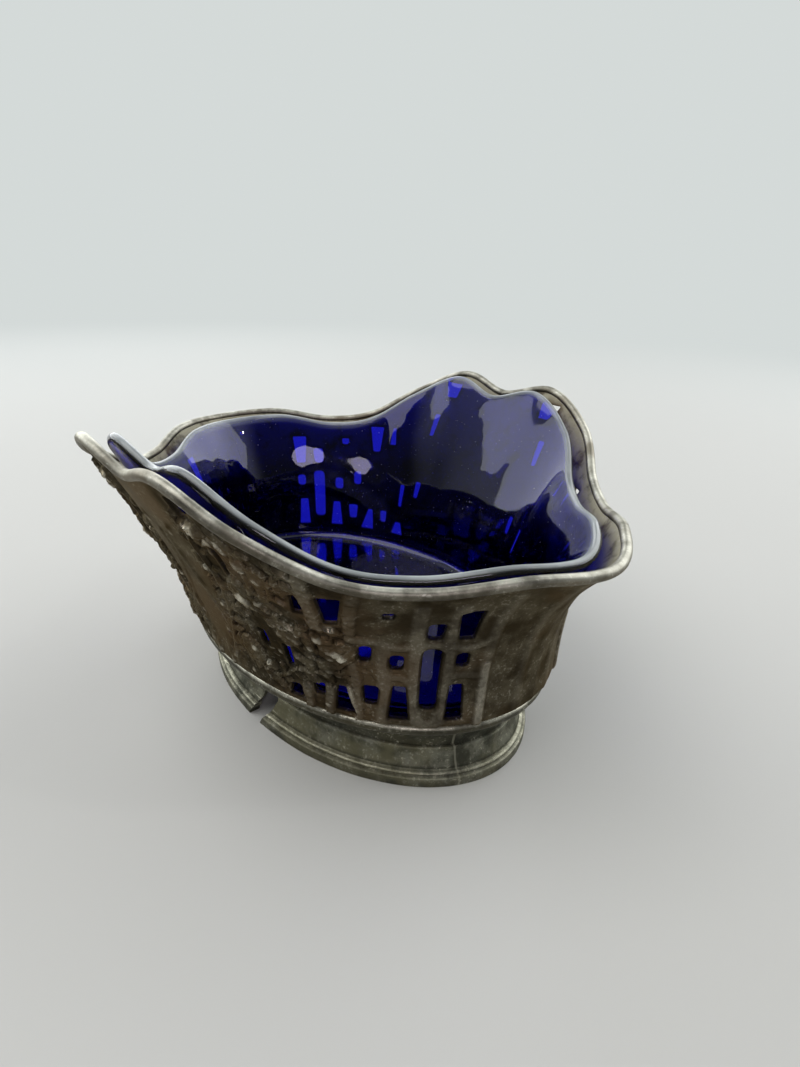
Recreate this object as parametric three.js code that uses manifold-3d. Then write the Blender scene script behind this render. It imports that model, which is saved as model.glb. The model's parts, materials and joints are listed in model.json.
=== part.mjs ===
// Oval pierced basket on a foot, with a loose glass liner.
// Millimetres. The origin is the middle of the foot's underside, +X is the long way and +Z is up.

import * as THREE from 'three';
import { ParametricGeometry } from 'three/addons/geometries/ParametricGeometry.js';
import { mergeVertices } from 'three/addons/utils/BufferGeometryUtils.js';
import Module from 'manifold-3d';

const wasm = await Module();
wasm.setup();

// Foot

const FOOT_LENGTH = 120;
const FOOT_WIDTH = 79.5;
const FOOT_HEIGHT = 20;
const FOOT_BAND = 4.2;
const FOOT_STEP = 1;
const STEP_RISE_SHARE = 0.6;
const FOOT_APRON_HEIGHT = 12.4;
const FOOT_APRON_LEAN = 1.2;
const FOOT_SHEET = 1.4;
const FOOT_FLANGE = 8;
const COVE_FULLNESS = 0.65;

// Piece broken out of the foot: its width at the table and how far it leans sideways up to its shoulder

const BREAK_ANGLE = 268.3;
const BREAK_WIDTH = 6;
const BREAK_LEAN = 4.7;
const BREAK_SHOULDER = 9;
const BREAK_HEIGHT = 15;

// Body of the basket

const BASE_LENGTH = 126.6;
const BASE_WIDTH = 89.8;
const BASE_WIRE = 3;
const PLATE_THICKNESS = 1.2;
const WALL_THICKNESS = 1.3;
const WALL_HEEL = 2.2;
const FLARE_AT_ENDS = 3.2;
const FLARE_AT_SIDES = 1.5;
const FLARE_BLEND_START = -0.3;
const FLARE_BLEND_END = 0.6;

// Rim: reach from the middle axis and height above the table, every 15 degrees of one quarter

const RIM_WIRE = 3;
const RIM_END_REACH = 79;
const RIM_END_HEIGHT = 67.8;
const RIM_CORNER_REACH = 73.6;
const RIM_CORNER_HEIGHT = 68.6;
const RIM_LOW_REACH = 67.6;
const RIM_LOW_HEIGHT = 66.1;
const RIM_WAIST_REACH = 66.6;
const RIM_WAIST_HEIGHT = 68.2;
const RIM_SHOULDER_REACH = 69.8;
const RIM_SHOULDER_HEIGHT = 77.7;
const RIM_LOBE_REACH = 69.1;
const RIM_LOBE_HEIGHT = 85.6;
const RIM_VALLEY_REACH = 65.8;
const RIM_VALLEY_HEIGHT = 81.9;

// Glass liner

const GLASS_THICKNESS = 2.4;
const GLASS_FLOOR = 3.2;
const GLASS_HEEL = 4;
const GLASS_SIDE_CLEARANCE = 1.6;
const GLASS_RIM_INSET = 6;
const GLASS_RIM_RISE = 0.3;

// Fits and resolution

const SEAM_GAP = 0.3;
const CUTTER_START_SHARE = 0.7;
const STEPS_AROUND = 60;
const WALL_COURSES = 4;
const HEEL_COURSES = 2;
const WIRE_SIDES = 6;
const LIP_COURSES = 3;
const SHARP_CORNER_STEPS = 1;
const ROUND_CORNER_STEPS = 2;

// Openings of one quarter of the wall.
// Each has its angle from the long axis, the share of the wall's height where it starts and ends,
// its width in mm at the bottom and at the top, how round its corners are, and its slant in mm.

const OPENINGS = [
  { angle: 19.9, from: 0.61, to: 0.82, low: 3.2, high: 5, round: 0.2, slant: 0.6 },
  { angle: 19.7, from: 0.42, to: 0.51, low: 2.8, high: 2.8, round: 0.8, slant: 0 },
  { angle: 20.2, from: 0.06, to: 0.3, low: 4, high: 2.8, round: 0.2, slant: 0 },
  { angle: 26.1, from: 0.63, to: 0.75, low: 3.2, high: 3.7, round: 0.8, slant: 0 },
  { angle: 25.9, from: 0.14, to: 0.56, low: 3.7, high: 4, round: 0.9, slant: 0 },
  { angle: 35.8, from: 0.79, to: 0.84, low: 2.4, high: 2.8, round: 0.6, slant: 0 },
  { angle: 33.1, from: 0.41, to: 0.51, low: 3, high: 3, round: 0.8, slant: 0 },
  { angle: 32.1, from: 0.06, to: 0.29, low: 4.4, high: 2.6, round: 0.2, slant: 0 },
  { angle: 40.1, from: 0.45, to: 0.56, low: 2.7, high: 2.7, round: 0.8, slant: 0 },
  { angle: 38.5, from: 0.14, to: 0.27, low: 2.8, high: 3.6, round: 0.6, slant: 0 },
  { angle: 44.4, from: 0.05, to: 0.23, low: 5, high: 1.8, round: 0.2, slant: 1.1 },
  { angle: 51.4, from: 0.12, to: 0.21, low: 2.4, high: 2.9, round: 0.7, slant: 0 },
  { angle: 47.1, from: 0.69, to: 0.88, low: 2.6, high: 5.2, round: 0.2, slant: 0 },
  { angle: 53.2, from: 0.69, to: 0.81, low: 2.6, high: 1.4, round: 0.3, slant: 0.2 },
  { angle: 58.6, from: 0.24, to: 0.39, low: 1.6, high: 2.1, round: 0.6, slant: 0.4 },
  { angle: 58.3, from: 0.04, to: 0.13, low: 5, high: 2.4, round: 0.3, slant: 0.2 },
  { angle: 65.4, from: 0.3, to: 0.4, low: 2, high: 2.6, round: 0.6, slant: 0.6 },
  { angle: 67.7, from: 0.67, to: 0.8, low: 2.2, high: 2.8, round: 0.5, slant: 1.4 },
  { angle: 72.5, from: 0.87, to: 0.95, low: 4.4, high: 7, round: 0.2, slant: 0 },
];

const pewter = { color: 0x6d675b, roughness: 0.48, metalness: 0.9 };
const wornPewter = { color: 0x9a968b, roughness: 0.38, metalness: 0.95 };
const cobaltGlass = { color: 0x10135c, roughness: 0.06, metalness: 0 };

// Plan curves

function ovalReach(length, width, angle) {
  return 1 / Math.hypot((2 * Math.cos(angle)) / length, (2 * Math.sin(angle)) / width);
}

function rimStations() {
  const quarter = [
    [RIM_END_REACH, RIM_END_HEIGHT],
    [RIM_CORNER_REACH, RIM_CORNER_HEIGHT],
    [RIM_LOW_REACH, RIM_LOW_HEIGHT],
    [RIM_WAIST_REACH, RIM_WAIST_HEIGHT],
    [RIM_SHOULDER_REACH, RIM_SHOULDER_HEIGHT],
    [RIM_LOBE_REACH, RIM_LOBE_HEIGHT],
    [RIM_VALLEY_REACH, RIM_VALLEY_HEIGHT],
  ];
  const half = [...quarter, ...quarter.slice(1, -1).reverse()];
  return [...half, ...half].map(([reach, height]) => new THREE.Vector3(reach, height, 0));
}

const rimCourse = new THREE.CatmullRomCurve3(rimStations(), true, 'catmullrom', 0.5);

function rimAt(angle) {
  const turn = THREE.MathUtils.euclideanModulo(angle / (2 * Math.PI), 1);
  const station = rimCourse.getPoint(turn);
  return { reach: station.x, height: station.y };
}

function flareAt(angle) {
  const endness = Math.cos(2 * angle);
  const towardsEnd = THREE.MathUtils.smoothstep(endness, FLARE_BLEND_START, FLARE_BLEND_END);
  return THREE.MathUtils.lerp(FLARE_AT_SIDES, FLARE_AT_ENDS, towardsEnd);
}

// A skin is the middle surface of a flared wall, from its oval base up to the wavy rim

const plateBottom = FOOT_HEIGHT + SEAM_GAP;
const plateTop = plateBottom + PLATE_THICKNESS;
const baseWireHeight = plateBottom + BASE_WIRE / 2;

const bodySkin = {
  length: BASE_LENGTH - BASE_WIRE + 2 * WALL_HEEL,
  width: BASE_WIDTH - BASE_WIRE + 2 * WALL_HEEL,
  floor: plateBottom + BASE_WIRE + SEAM_GAP + WALL_THICKNESS / 2,
  heel: WALL_HEEL,
  inset: 0,
  rise: 0,
};

const linerInset = WALL_THICKNESS / 2 + GLASS_SIDE_CLEARANCE + GLASS_THICKNESS / 2;

const linerSkin = {
  length: BASE_LENGTH - BASE_WIRE - 2 * linerInset,
  width: BASE_WIDTH - BASE_WIRE - 2 * linerInset,
  floor: plateTop + SEAM_GAP + GLASS_THICKNESS / 2,
  heel: GLASS_HEEL,
  inset: GLASS_RIM_INSET,
  rise: GLASS_RIM_RISE,
};

function skinRise(skin, angle) {
  return rimAt(angle).height + skin.rise - skin.floor;
}

function skinPoint(skin, angle, share) {
  const start = ovalReach(skin.length, skin.width, angle);
  const climb = share * skinRise(skin, angle);
  const flare = (rimAt(angle).reach - skin.inset - start) * share ** flareAt(angle);
  const shortOfHeel = Math.max(0, 1 - climb / skin.heel);
  const tuck = skin.heel * (1 - Math.sqrt(1 - shortOfHeel ** 2));
  const reach = start + flare - tuck;
  return new THREE.Vector3(reach * Math.cos(angle), reach * Math.sin(angle), skin.floor + climb);
}

function skinFrame(skin, angle, share) {
  const nudge = 0.0005;
  const here = skinPoint(skin, angle, share);
  const up = skinPoint(skin, angle, share + nudge).sub(here).normalize();
  const along = skinPoint(skin, angle + nudge, share).sub(skinPoint(skin, angle - nudge, share));
  const out = along.cross(up).normalize();
  return { here, up, out };
}

function skinOffset(skin, angle, share, distance) {
  const { here, out } = skinFrame(skin, angle, share);
  return here.addScaledVector(out, distance);
}

function skinShares(skin, angle, top) {
  const rise = skinRise(skin, angle);
  const shares = [];
  for (let course = 0; course <= HEEL_COURSES; course += 1) {
    const bend = (course / HEEL_COURSES) * (Math.PI / 2);
    shares.push((skin.heel * (1 - Math.cos(bend))) / rise);
  }
  const heelTop = shares[HEEL_COURSES];
  for (let course = 1; course <= WALL_COURSES; course += 1) {
    shares.push(THREE.MathUtils.lerp(heelTop, top, course / WALL_COURSES));
  }
  return shares;
}

// Solids

function closedGeometry(geometry) {
  geometry.deleteAttribute('normal');
  geometry.deleteAttribute('uv');
  const merged = mergeVertices(geometry, 1e-4);
  const corners = [];
  for (let k = 0; k < merged.index.count; k += 3) {
    const triangle = [merged.index.getX(k), merged.index.getX(k + 1), merged.index.getX(k + 2)];
    if (new Set(triangle).size === 3) {
      corners.push(...triangle);
    }
  }
  merged.setIndex(corners);
  return merged;
}

function ringGeometry(sectionAt) {
  const sections = [];
  for (let step = 0; step < STEPS_AROUND; step += 1) {
    sections.push(sectionAt((2 * Math.PI * step) / STEPS_AROUND));
  }
  const pointCount = sections[0].length;
  const surface = (u, v, target) => {
    const section = sections[Math.round(u * STEPS_AROUND) % STEPS_AROUND];
    target.copy(section[Math.round(v * pointCount) % pointCount]);
  };
  return closedGeometry(new ParametricGeometry(surface, STEPS_AROUND, pointCount));
}

function solidOf(geometry) {
  const vertProperties = new Float32Array(geometry.attributes.position.array);
  const triVerts = new Uint32Array(geometry.index.array);
  return new wasm.Manifold(new wasm.Mesh({ numProp: 3, vertProperties, triVerts }));
}

function geometryOf(solid) {
  const mesh = solid.getMesh();
  const geometry = new THREE.BufferGeometry();
  geometry.setAttribute('position', new THREE.BufferAttribute(mesh.vertProperties, 3));
  geometry.setIndex(new THREE.BufferAttribute(mesh.triVerts, 1));
  geometry.computeVertexNormals();
  return geometry;
}

function namedMesh(name, geometry, finish) {
  const mesh = new THREE.Mesh(geometry, new THREE.MeshStandardMaterial(finish));
  mesh.name = name;
  return mesh;
}

// Openwork wall

function openingShape({ low, high, round, slant }, height) {
  const corner = (round * Math.min(low, high, height)) / 2;
  const outline = [
    new THREE.Vector2(-low / 2, 0),
    new THREE.Vector2(low / 2, 0),
    new THREE.Vector2(high / 2 + slant, height),
    new THREE.Vector2(-high / 2 + slant, height),
  ];
  const shape = new THREE.Shape();
  outline.forEach((point, k) => {
    const before = outline[(k + 3) % 4];
    const after = outline[(k + 1) % 4];
    const enter = point.clone().add(before.clone().sub(point).setLength(corner));
    const leave = point.clone().add(after.clone().sub(point).setLength(corner));
    if (k === 0) {
      shape.moveTo(enter.x, enter.y);
    } else {
      shape.lineTo(enter.x, enter.y);
    }
    shape.quadraticCurveTo(point.x, point.y, leave.x, leave.y);
  });
  shape.closePath();
  return shape;
}

function radialCutter(shape, cornerSteps, angle, height, flip) {
  const inside = CUTTER_START_SHARE * ovalReach(BASE_LENGTH, BASE_WIDTH, angle);
  const outside = RIM_END_REACH + RIM_LOBE_REACH;
  const blank = new THREE.ExtrudeGeometry(shape, {
    depth: outside - inside,
    bevelEnabled: false,
    curveSegments: cornerSteps,
  });
  blank.rotateY(flip ? Math.PI : 0);
  blank.translate(0, height, flip ? outside : inside);
  const tangent = new THREE.Vector3(-Math.sin(angle), Math.cos(angle), 0);
  const radial = new THREE.Vector3(Math.cos(angle), Math.sin(angle), 0);
  blank.applyMatrix4(new THREE.Matrix4().makeBasis(tangent, new THREE.Vector3(0, 0, 1), radial));
  return solidOf(closedGeometry(blank));
}

function quarterAngles(angle) {
  return [
    { turned: angle, flip: false },
    { turned: Math.PI - angle, flip: true },
    { turned: Math.PI + angle, flip: false },
    { turned: 2 * Math.PI - angle, flip: true },
  ];
}

function openworkCutters() {
  const cutters = [];
  for (const opening of OPENINGS) {
    const angle = THREE.MathUtils.degToRad(opening.angle);
    const rise = skinRise(bodySkin, angle);
    const shape = openingShape(opening, (opening.to - opening.from) * rise);
    const cornerSteps = opening.round < 0.5 ? SHARP_CORNER_STEPS : ROUND_CORNER_STEPS;
    for (const { turned, flip } of quarterAngles(angle)) {
      const height = bodySkin.floor + opening.from * rise;
      cutters.push(radialCutter(shape, cornerSteps, turned, height, flip));
    }
  }
  return wasm.Manifold.union(cutters);
}

function wallTopShare(angle) {
  const nudge = 0.001;
  const span = skinPoint(bodySkin, angle, 1).distanceTo(skinPoint(bodySkin, angle, 1 - nudge));
  return 1 - ((RIM_WIRE / 2 + SEAM_GAP) * nudge) / span;
}

function wallSection(angle) {
  const shares = skinShares(bodySkin, angle, wallTopShare(angle));
  const outer = shares.map((share) => skinOffset(bodySkin, angle, share, WALL_THICKNESS / 2));
  const inner = shares.map((share) => skinOffset(bodySkin, angle, share, -WALL_THICKNESS / 2));
  return [...outer, ...inner.reverse()];
}

function halfSpace(side) {
  const size = 4 * RIM_END_REACH;
  const block = new THREE.BoxGeometry(size, size, size);
  block.translate(0, side * (size / 2 + SEAM_GAP / 2), 0);
  return solidOf(closedGeometry(block));
}

const openWall = solidOf(ringGeometry(wallSection)).subtract(openworkCutters());

function wallHalf(name, side) {
  return namedMesh(name, geometryOf(openWall.intersect(halfSpace(side))), pewter);
}

// Wires, plate and foot

function roundSection(centre, out, up, radius) {
  const section = [];
  for (let side = 0; side < WIRE_SIDES; side += 1) {
    const bend = (2 * Math.PI * (side + 0.5)) / WIRE_SIDES;
    const point = centre.clone().addScaledVector(out, radius * Math.cos(bend));
    section.push(point.addScaledVector(up, radius * Math.sin(bend)));
  }
  return section;
}

function rimWireSection(angle) {
  const { here, up, out } = skinFrame(bodySkin, angle, 1);
  return roundSection(here, out, up, RIM_WIRE / 2);
}

function baseWireSection(angle) {
  const reach = ovalReach(BASE_LENGTH - BASE_WIRE, BASE_WIDTH - BASE_WIRE, angle);
  const out = new THREE.Vector3(Math.cos(angle), Math.sin(angle), 0);
  const centre = out.clone().multiplyScalar(reach).setZ(baseWireHeight);
  return roundSection(centre, out, new THREE.Vector3(0, 0, 1), BASE_WIRE / 2);
}

function floorPlateGeometry() {
  const inset = BASE_WIRE + SEAM_GAP;
  const outline = new THREE.Shape();
  outline.absellipse(0, 0, BASE_LENGTH / 2 - inset, BASE_WIDTH / 2 - inset, 0, 2 * Math.PI);
  const plate = new THREE.ExtrudeGeometry(outline, {
    depth: PLATE_THICKNESS,
    bevelEnabled: false,
    curveSegments: STEPS_AROUND / 2,
  });
  plate.translate(0, 0, plateBottom);
  return closedGeometry(plate);
}

function footSection(angle) {
  const at = (length, width, inset, height) => {
    const reach = ovalReach(length - 2 * inset, width - 2 * inset, angle);
    return new THREE.Vector3(reach * Math.cos(angle), reach * Math.sin(angle), height);
  };
  const foot = (inset, height) => at(FOOT_LENGTH, FOOT_WIDTH, inset, height);
  const base = (inset, height) => at(BASE_LENGTH, BASE_WIDTH, inset, height);
  const stepInset = FOOT_STEP;
  const apronInset = stepInset + FOOT_STEP;
  const edgeInset = apronInset + FOOT_APRON_LEAN;
  const coveInset = edgeInset + FOOT_STEP;
  const firstTread = FOOT_BAND + STEP_RISE_SHARE * FOOT_STEP;
  const apronFoot = firstTread + FOOT_STEP;
  const coveFoot = FOOT_APRON_HEIGHT + FOOT_STEP;
  const coveTop = base(BASE_WIRE / 2, FOOT_HEIGHT);
  const coveStart = foot(coveInset, coveFoot);
  const coveMiddle = coveStart.clone().lerp(coveTop, 0.5);
  coveMiddle.z = THREE.MathUtils.lerp(coveFoot, FOOT_HEIGHT, COVE_FULLNESS);
  const flangeInset = BASE_WIRE + FOOT_FLANGE;
  const underFlange = FOOT_HEIGHT - FOOT_SHEET;
  return [
    foot(0, 0),
    foot(0, FOOT_BAND),
    foot(stepInset, firstTread),
    foot(stepInset, FOOT_BAND + FOOT_STEP),
    foot(apronInset, apronFoot),
    foot(edgeInset, FOOT_APRON_HEIGHT),
    coveStart,
    coveMiddle,
    coveTop,
    base(flangeInset, FOOT_HEIGHT),
    base(flangeInset, underFlange),
    foot(coveInset + FOOT_SHEET, underFlange),
    foot(coveInset + FOOT_SHEET, coveFoot),
    foot(edgeInset + FOOT_SHEET, FOOT_APRON_HEIGHT),
    foot(apronInset + FOOT_SHEET, apronFoot),
    foot(apronInset + FOOT_SHEET, 0),
  ];
}

function breakCutter() {
  const half = BREAK_WIDTH / 2;
  const shape = new THREE.Shape();
  shape.moveTo(-half, -FOOT_BAND);
  shape.lineTo(half, -FOOT_BAND);
  shape.lineTo(half, 0);
  shape.lineTo(half + BREAK_LEAN, BREAK_SHOULDER);
  shape.lineTo(half + BREAK_LEAN, BREAK_HEIGHT);
  shape.lineTo(BREAK_LEAN, BREAK_HEIGHT);
  shape.lineTo(-half + BREAK_LEAN, BREAK_SHOULDER);
  shape.lineTo(-half, 0);
  shape.closePath();
  return radialCutter(shape, SHARP_CORNER_STEPS, THREE.MathUtils.degToRad(BREAK_ANGLE), 0, false);
}

const foot = solidOf(ringGeometry(footSection)).subtract(breakCutter());

// Glass liner

function linerSection(angle) {
  const half = GLASS_THICKNESS / 2;
  const shares = skinShares(linerSkin, angle, 1);
  const outer = shares.map((share) => skinOffset(linerSkin, angle, share, half));
  const inner = shares.map((share) => skinOffset(linerSkin, angle, share, -half));
  const extraFloor = GLASS_FLOOR - GLASS_THICKNESS;
  inner.forEach((point) => {
    const low = Math.max(0, 1 - (point.z - linerSkin.floor - half) / (2 * GLASS_HEEL));
    point.z += extraFloor * low;
  });
  const { here, up, out } = skinFrame(linerSkin, angle, 1);
  const lip = [];
  for (let course = 1; course < LIP_COURSES; course += 1) {
    const bend = (Math.PI * course) / LIP_COURSES;
    const point = here.clone().addScaledVector(out, half * Math.cos(bend));
    lip.push(point.addScaledVector(up, half * Math.sin(bend)));
  }
  const underFloor = new THREE.Vector3(0, 0, outer[0].z);
  const overFloor = new THREE.Vector3(0, 0, inner[0].z);
  return [underFloor, ...outer, ...lip, ...inner.reverse(), overFloor];
}

// Assembly

const basket = new THREE.Group();
basket.add(namedMesh('foot_ring', geometryOf(foot), pewter));
basket.add(namedMesh('floor_plate', floorPlateGeometry(), pewter));
basket.add(namedMesh('base_wire', ringGeometry(baseWireSection), wornPewter));
basket.add(wallHalf('front_wall', -1));
basket.add(wallHalf('back_wall', 1));
basket.add(namedMesh('rim_wire', ringGeometry(rimWireSection), wornPewter));

const footedBowl = new THREE.Group();
footedBowl.add(basket);
footedBowl.add(namedMesh('glass_liner', ringGeometry(linerSection), cobaltGlass));

export default footedBowl;
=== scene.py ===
"""Oval pierced pewter basket on a foot, with a loose cobalt glass liner.

Sizes in the classes are millimetres, and every mesh is made in metres with MM.
"""

from __future__ import annotations

import json
import logging
import math
from dataclasses import dataclass, field
from enum import Enum
from functools import reduce
from typing import Any, Callable, Iterable, Sequence

import bmesh
import bpy
import numpy as np
from mathutils import Matrix, Vector, noise
from mathutils.geometry import delaunay_2d_cdt

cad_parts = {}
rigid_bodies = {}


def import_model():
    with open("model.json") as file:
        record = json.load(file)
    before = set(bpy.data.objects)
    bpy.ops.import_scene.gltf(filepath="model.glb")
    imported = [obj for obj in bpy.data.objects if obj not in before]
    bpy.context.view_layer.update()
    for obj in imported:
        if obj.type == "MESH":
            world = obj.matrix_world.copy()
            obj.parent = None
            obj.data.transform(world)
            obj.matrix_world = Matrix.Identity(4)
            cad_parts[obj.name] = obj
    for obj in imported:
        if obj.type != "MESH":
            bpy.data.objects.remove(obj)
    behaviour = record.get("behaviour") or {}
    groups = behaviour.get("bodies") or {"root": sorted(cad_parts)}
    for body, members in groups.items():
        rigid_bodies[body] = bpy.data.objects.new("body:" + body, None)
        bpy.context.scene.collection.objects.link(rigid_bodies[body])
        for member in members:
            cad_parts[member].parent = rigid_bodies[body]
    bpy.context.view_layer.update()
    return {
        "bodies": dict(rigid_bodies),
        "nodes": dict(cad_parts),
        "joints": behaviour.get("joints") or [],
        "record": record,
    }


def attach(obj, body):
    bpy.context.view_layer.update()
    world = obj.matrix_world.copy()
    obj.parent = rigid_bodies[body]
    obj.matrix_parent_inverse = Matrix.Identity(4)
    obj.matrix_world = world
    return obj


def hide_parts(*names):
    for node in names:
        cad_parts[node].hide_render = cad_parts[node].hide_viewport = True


LOG = logging.getLogger("footed_bowl")

MM = 0.001
FULL_TURN = 2 * math.pi
SHARP_ANGLE = math.radians(42)
TINY = 1e-6

Array = np.ndarray
Colour = tuple[float, float, float]


class Slot(Enum):
    """Material slots of the record."""

    FOOT = "foot_metal"
    WALL = "wall_metal"
    WIRE = "wire_metal"
    GLASS = "cobalt_glass"


class Body(Enum):
    """Bodies that move on their own."""

    BASKET = "basket"
    LINER = "liner"


class Side(Enum):
    """Half of the wall, by the polar angle where it starts."""

    BACK = 0.0
    FRONT = math.pi


# Node graphs


class Sock:
    """A node's output that adds Math nodes when it is used in an expression."""

    def __init__(self, graph: Graph, socket: bpy.types.NodeSocket) -> None:
        """Keep the graph and the socket."""
        self.graph = graph
        self.socket = socket

    def maths(self, operation: str, *values: Any) -> Sock:
        """Add a Math node that starts with this value."""
        return self.graph.maths(operation, self, *values)

    def __add__(self, other: Any) -> Sock:
        """Return self + other."""
        return self.maths("ADD", other)

    __radd__ = __add__

    def __sub__(self, other: Any) -> Sock:
        """Return self - other."""
        return self.maths("SUBTRACT", other)

    def __rsub__(self, other: Any) -> Sock:
        """Return other - self."""
        return self.graph.maths("SUBTRACT", other, self)

    def __mul__(self, other: Any) -> Sock:
        """Return self * other."""
        return self.maths("MULTIPLY", other)

    __rmul__ = __mul__

    def __truediv__(self, other: Any) -> Sock:
        """Return self / other."""
        return self.maths("DIVIDE", other)

    def __rtruediv__(self, other: Any) -> Sock:
        """Return other / self."""
        return self.graph.maths("DIVIDE", other, self)

    def __pow__(self, other: Any) -> Sock:
        """Return self ** other."""
        return self.maths("POWER", other)

    def clamped(self) -> Sock:
        """Return the value held between 0 and 1."""
        return self.maths("MAXIMUM", 0.0).maths("MINIMUM", 1.0)

    def step(self, low: float, high: float) -> Sock:
        """Rise smoothly from 0 at low to 1 at high."""
        values = {"Value": self, "From Min": low, "From Max": high}
        return self.graph.sock("ShaderNodeMapRange", values, interpolation_type="SMOOTHSTEP")


class Graph:
    """Builds the nodes of one shader or geometry tree."""

    def __init__(self, tree: bpy.types.NodeTree) -> None:
        """Keep the tree."""
        self.tree = tree

    def fill(self, node: bpy.types.Node, values: dict[Any, Any]) -> None:
        """Set or link the inputs of a node.

        Args:
            node: The node.
            values: Its inputs by name or index, as values or sockets.
        """
        for key, value in values.items():
            source = value.socket if isinstance(value, Sock) else value
            if isinstance(source, bpy.types.NodeSocket):
                self.tree.links.new(source, node.inputs[key])
            else:
                node.inputs[key].default_value = source

    def add(self, kind: str, values: dict[Any, Any] | None = None, **settings: Any) -> bpy.types.Node:
        """Add a node, set it up and fill its inputs.

        Args:
            kind: The node's type.
            values: Inputs by name or index, as values or sockets.
            settings: Attributes of the node, set before its inputs.

        Returns:
            The node.
        """
        node = self.tree.nodes.new(kind)
        for name, value in settings.items():
            setattr(node, name, value)
        self.fill(node, values or {})
        return node

    def sock(
        self, kind: str, values: dict[Any, Any] | None = None, output: Any = 0, **settings: Any
    ) -> Sock:
        """Add a node and return one of its outputs, wrapped."""
        return Sock(self, self.add(kind, values, **settings).outputs[output])

    def maths(self, operation: str, *values: Any) -> Sock:
        """Add a Math node with the given inputs in order."""
        return self.sock("ShaderNodeMath", dict(enumerate(values)), operation=operation)

    def vector(self, operation: str, *values: Any) -> Sock:
        """Add a Vector Math node with the given inputs in order, and return its number."""
        return self.sock("ShaderNodeVectorMath", dict(enumerate(values)), "Value", operation=operation)

    def scaled(self, vector: Any, factor: Any) -> Sock:
        """Return a vector times a number."""
        return self.sock("ShaderNodeVectorMath", {0: vector, "Scale": factor}, operation="SCALE")

    def split(self, vector: Any) -> list[Sock]:
        """Return the x, y and z of a vector."""
        return [Sock(self, part) for part in self.add("ShaderNodeSeparateXYZ", {0: vector}).outputs]

    def attribute(self, name: str) -> Sock:
        """Read a value that the mesh holds at its points, or 0 where it holds none."""
        return self.sock("ShaderNodeAttribute", output="Fac", attribute_name=name)

    def colour_mix(self, factor: Any, first: Any, second: Any) -> Sock:
        """Mix two colours by a factor from 0 to 1.

        Args:
            factor: Share of the second colour.
            first: A colour or a socket.
            second: A colour or a socket.

        Returns:
            The mixed colour.
        """
        first, second = ((*c, 1.0) if isinstance(c, tuple) else c for c in (first, second))
        return self.sock("ShaderNodeMix", {0: factor, 6: first, 7: second}, 2, data_type="RGBA")

    def noise(self, where: Sock, size: float, detail: float = 4.0, rough: float = 0.55) -> Sock:
        """Add noise whose lumps measure about size millimetres.

        Args:
            where: The coordinates, in metres.
            size: Width of a lump in millimetres.
            detail: Octaves of finer noise.
            rough: How strong the finer octaves are.

        Returns:
            The noise, mostly between 0.3 and 0.7.
        """
        values = {"Vector": where, "Scale": 1 / (size * MM), "Detail": detail, "Roughness": rough}
        return self.sock("ShaderNodeTexNoise", values, "Fac")

    def bump(self, strength: float, distance: float, height: Sock) -> Sock:
        """Turn a height into a bent normal, with its distance in metres."""
        values = {"Strength": strength, "Distance": distance, "Height": height}
        return self.sock("ShaderNodeBump", values)

    def show_mix(self, share: Sock, first: bpy.types.Node, second: bpy.types.Node) -> None:
        """Show a mix of two shaders as the material's surface."""
        both = self.sock("ShaderNodeMixShader", {0: share, 1: first.outputs[0], 2: second.outputs[0]})
        self.fill(self.tree.nodes["Material Output"], {"Surface": both})


# Finishes


def new_material(name: str) -> tuple[bpy.types.Material, Graph, bpy.types.Node]:
    """Start a node material.

    Args:
        name: The material's name.

    Returns:
        The material, its graph and its Principled BSDF.
    """
    material = bpy.data.materials.new(name)
    material.use_nodes = True
    tree = material.node_tree
    return material, Graph(tree), tree.nodes["Principled BSDF"]


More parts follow.
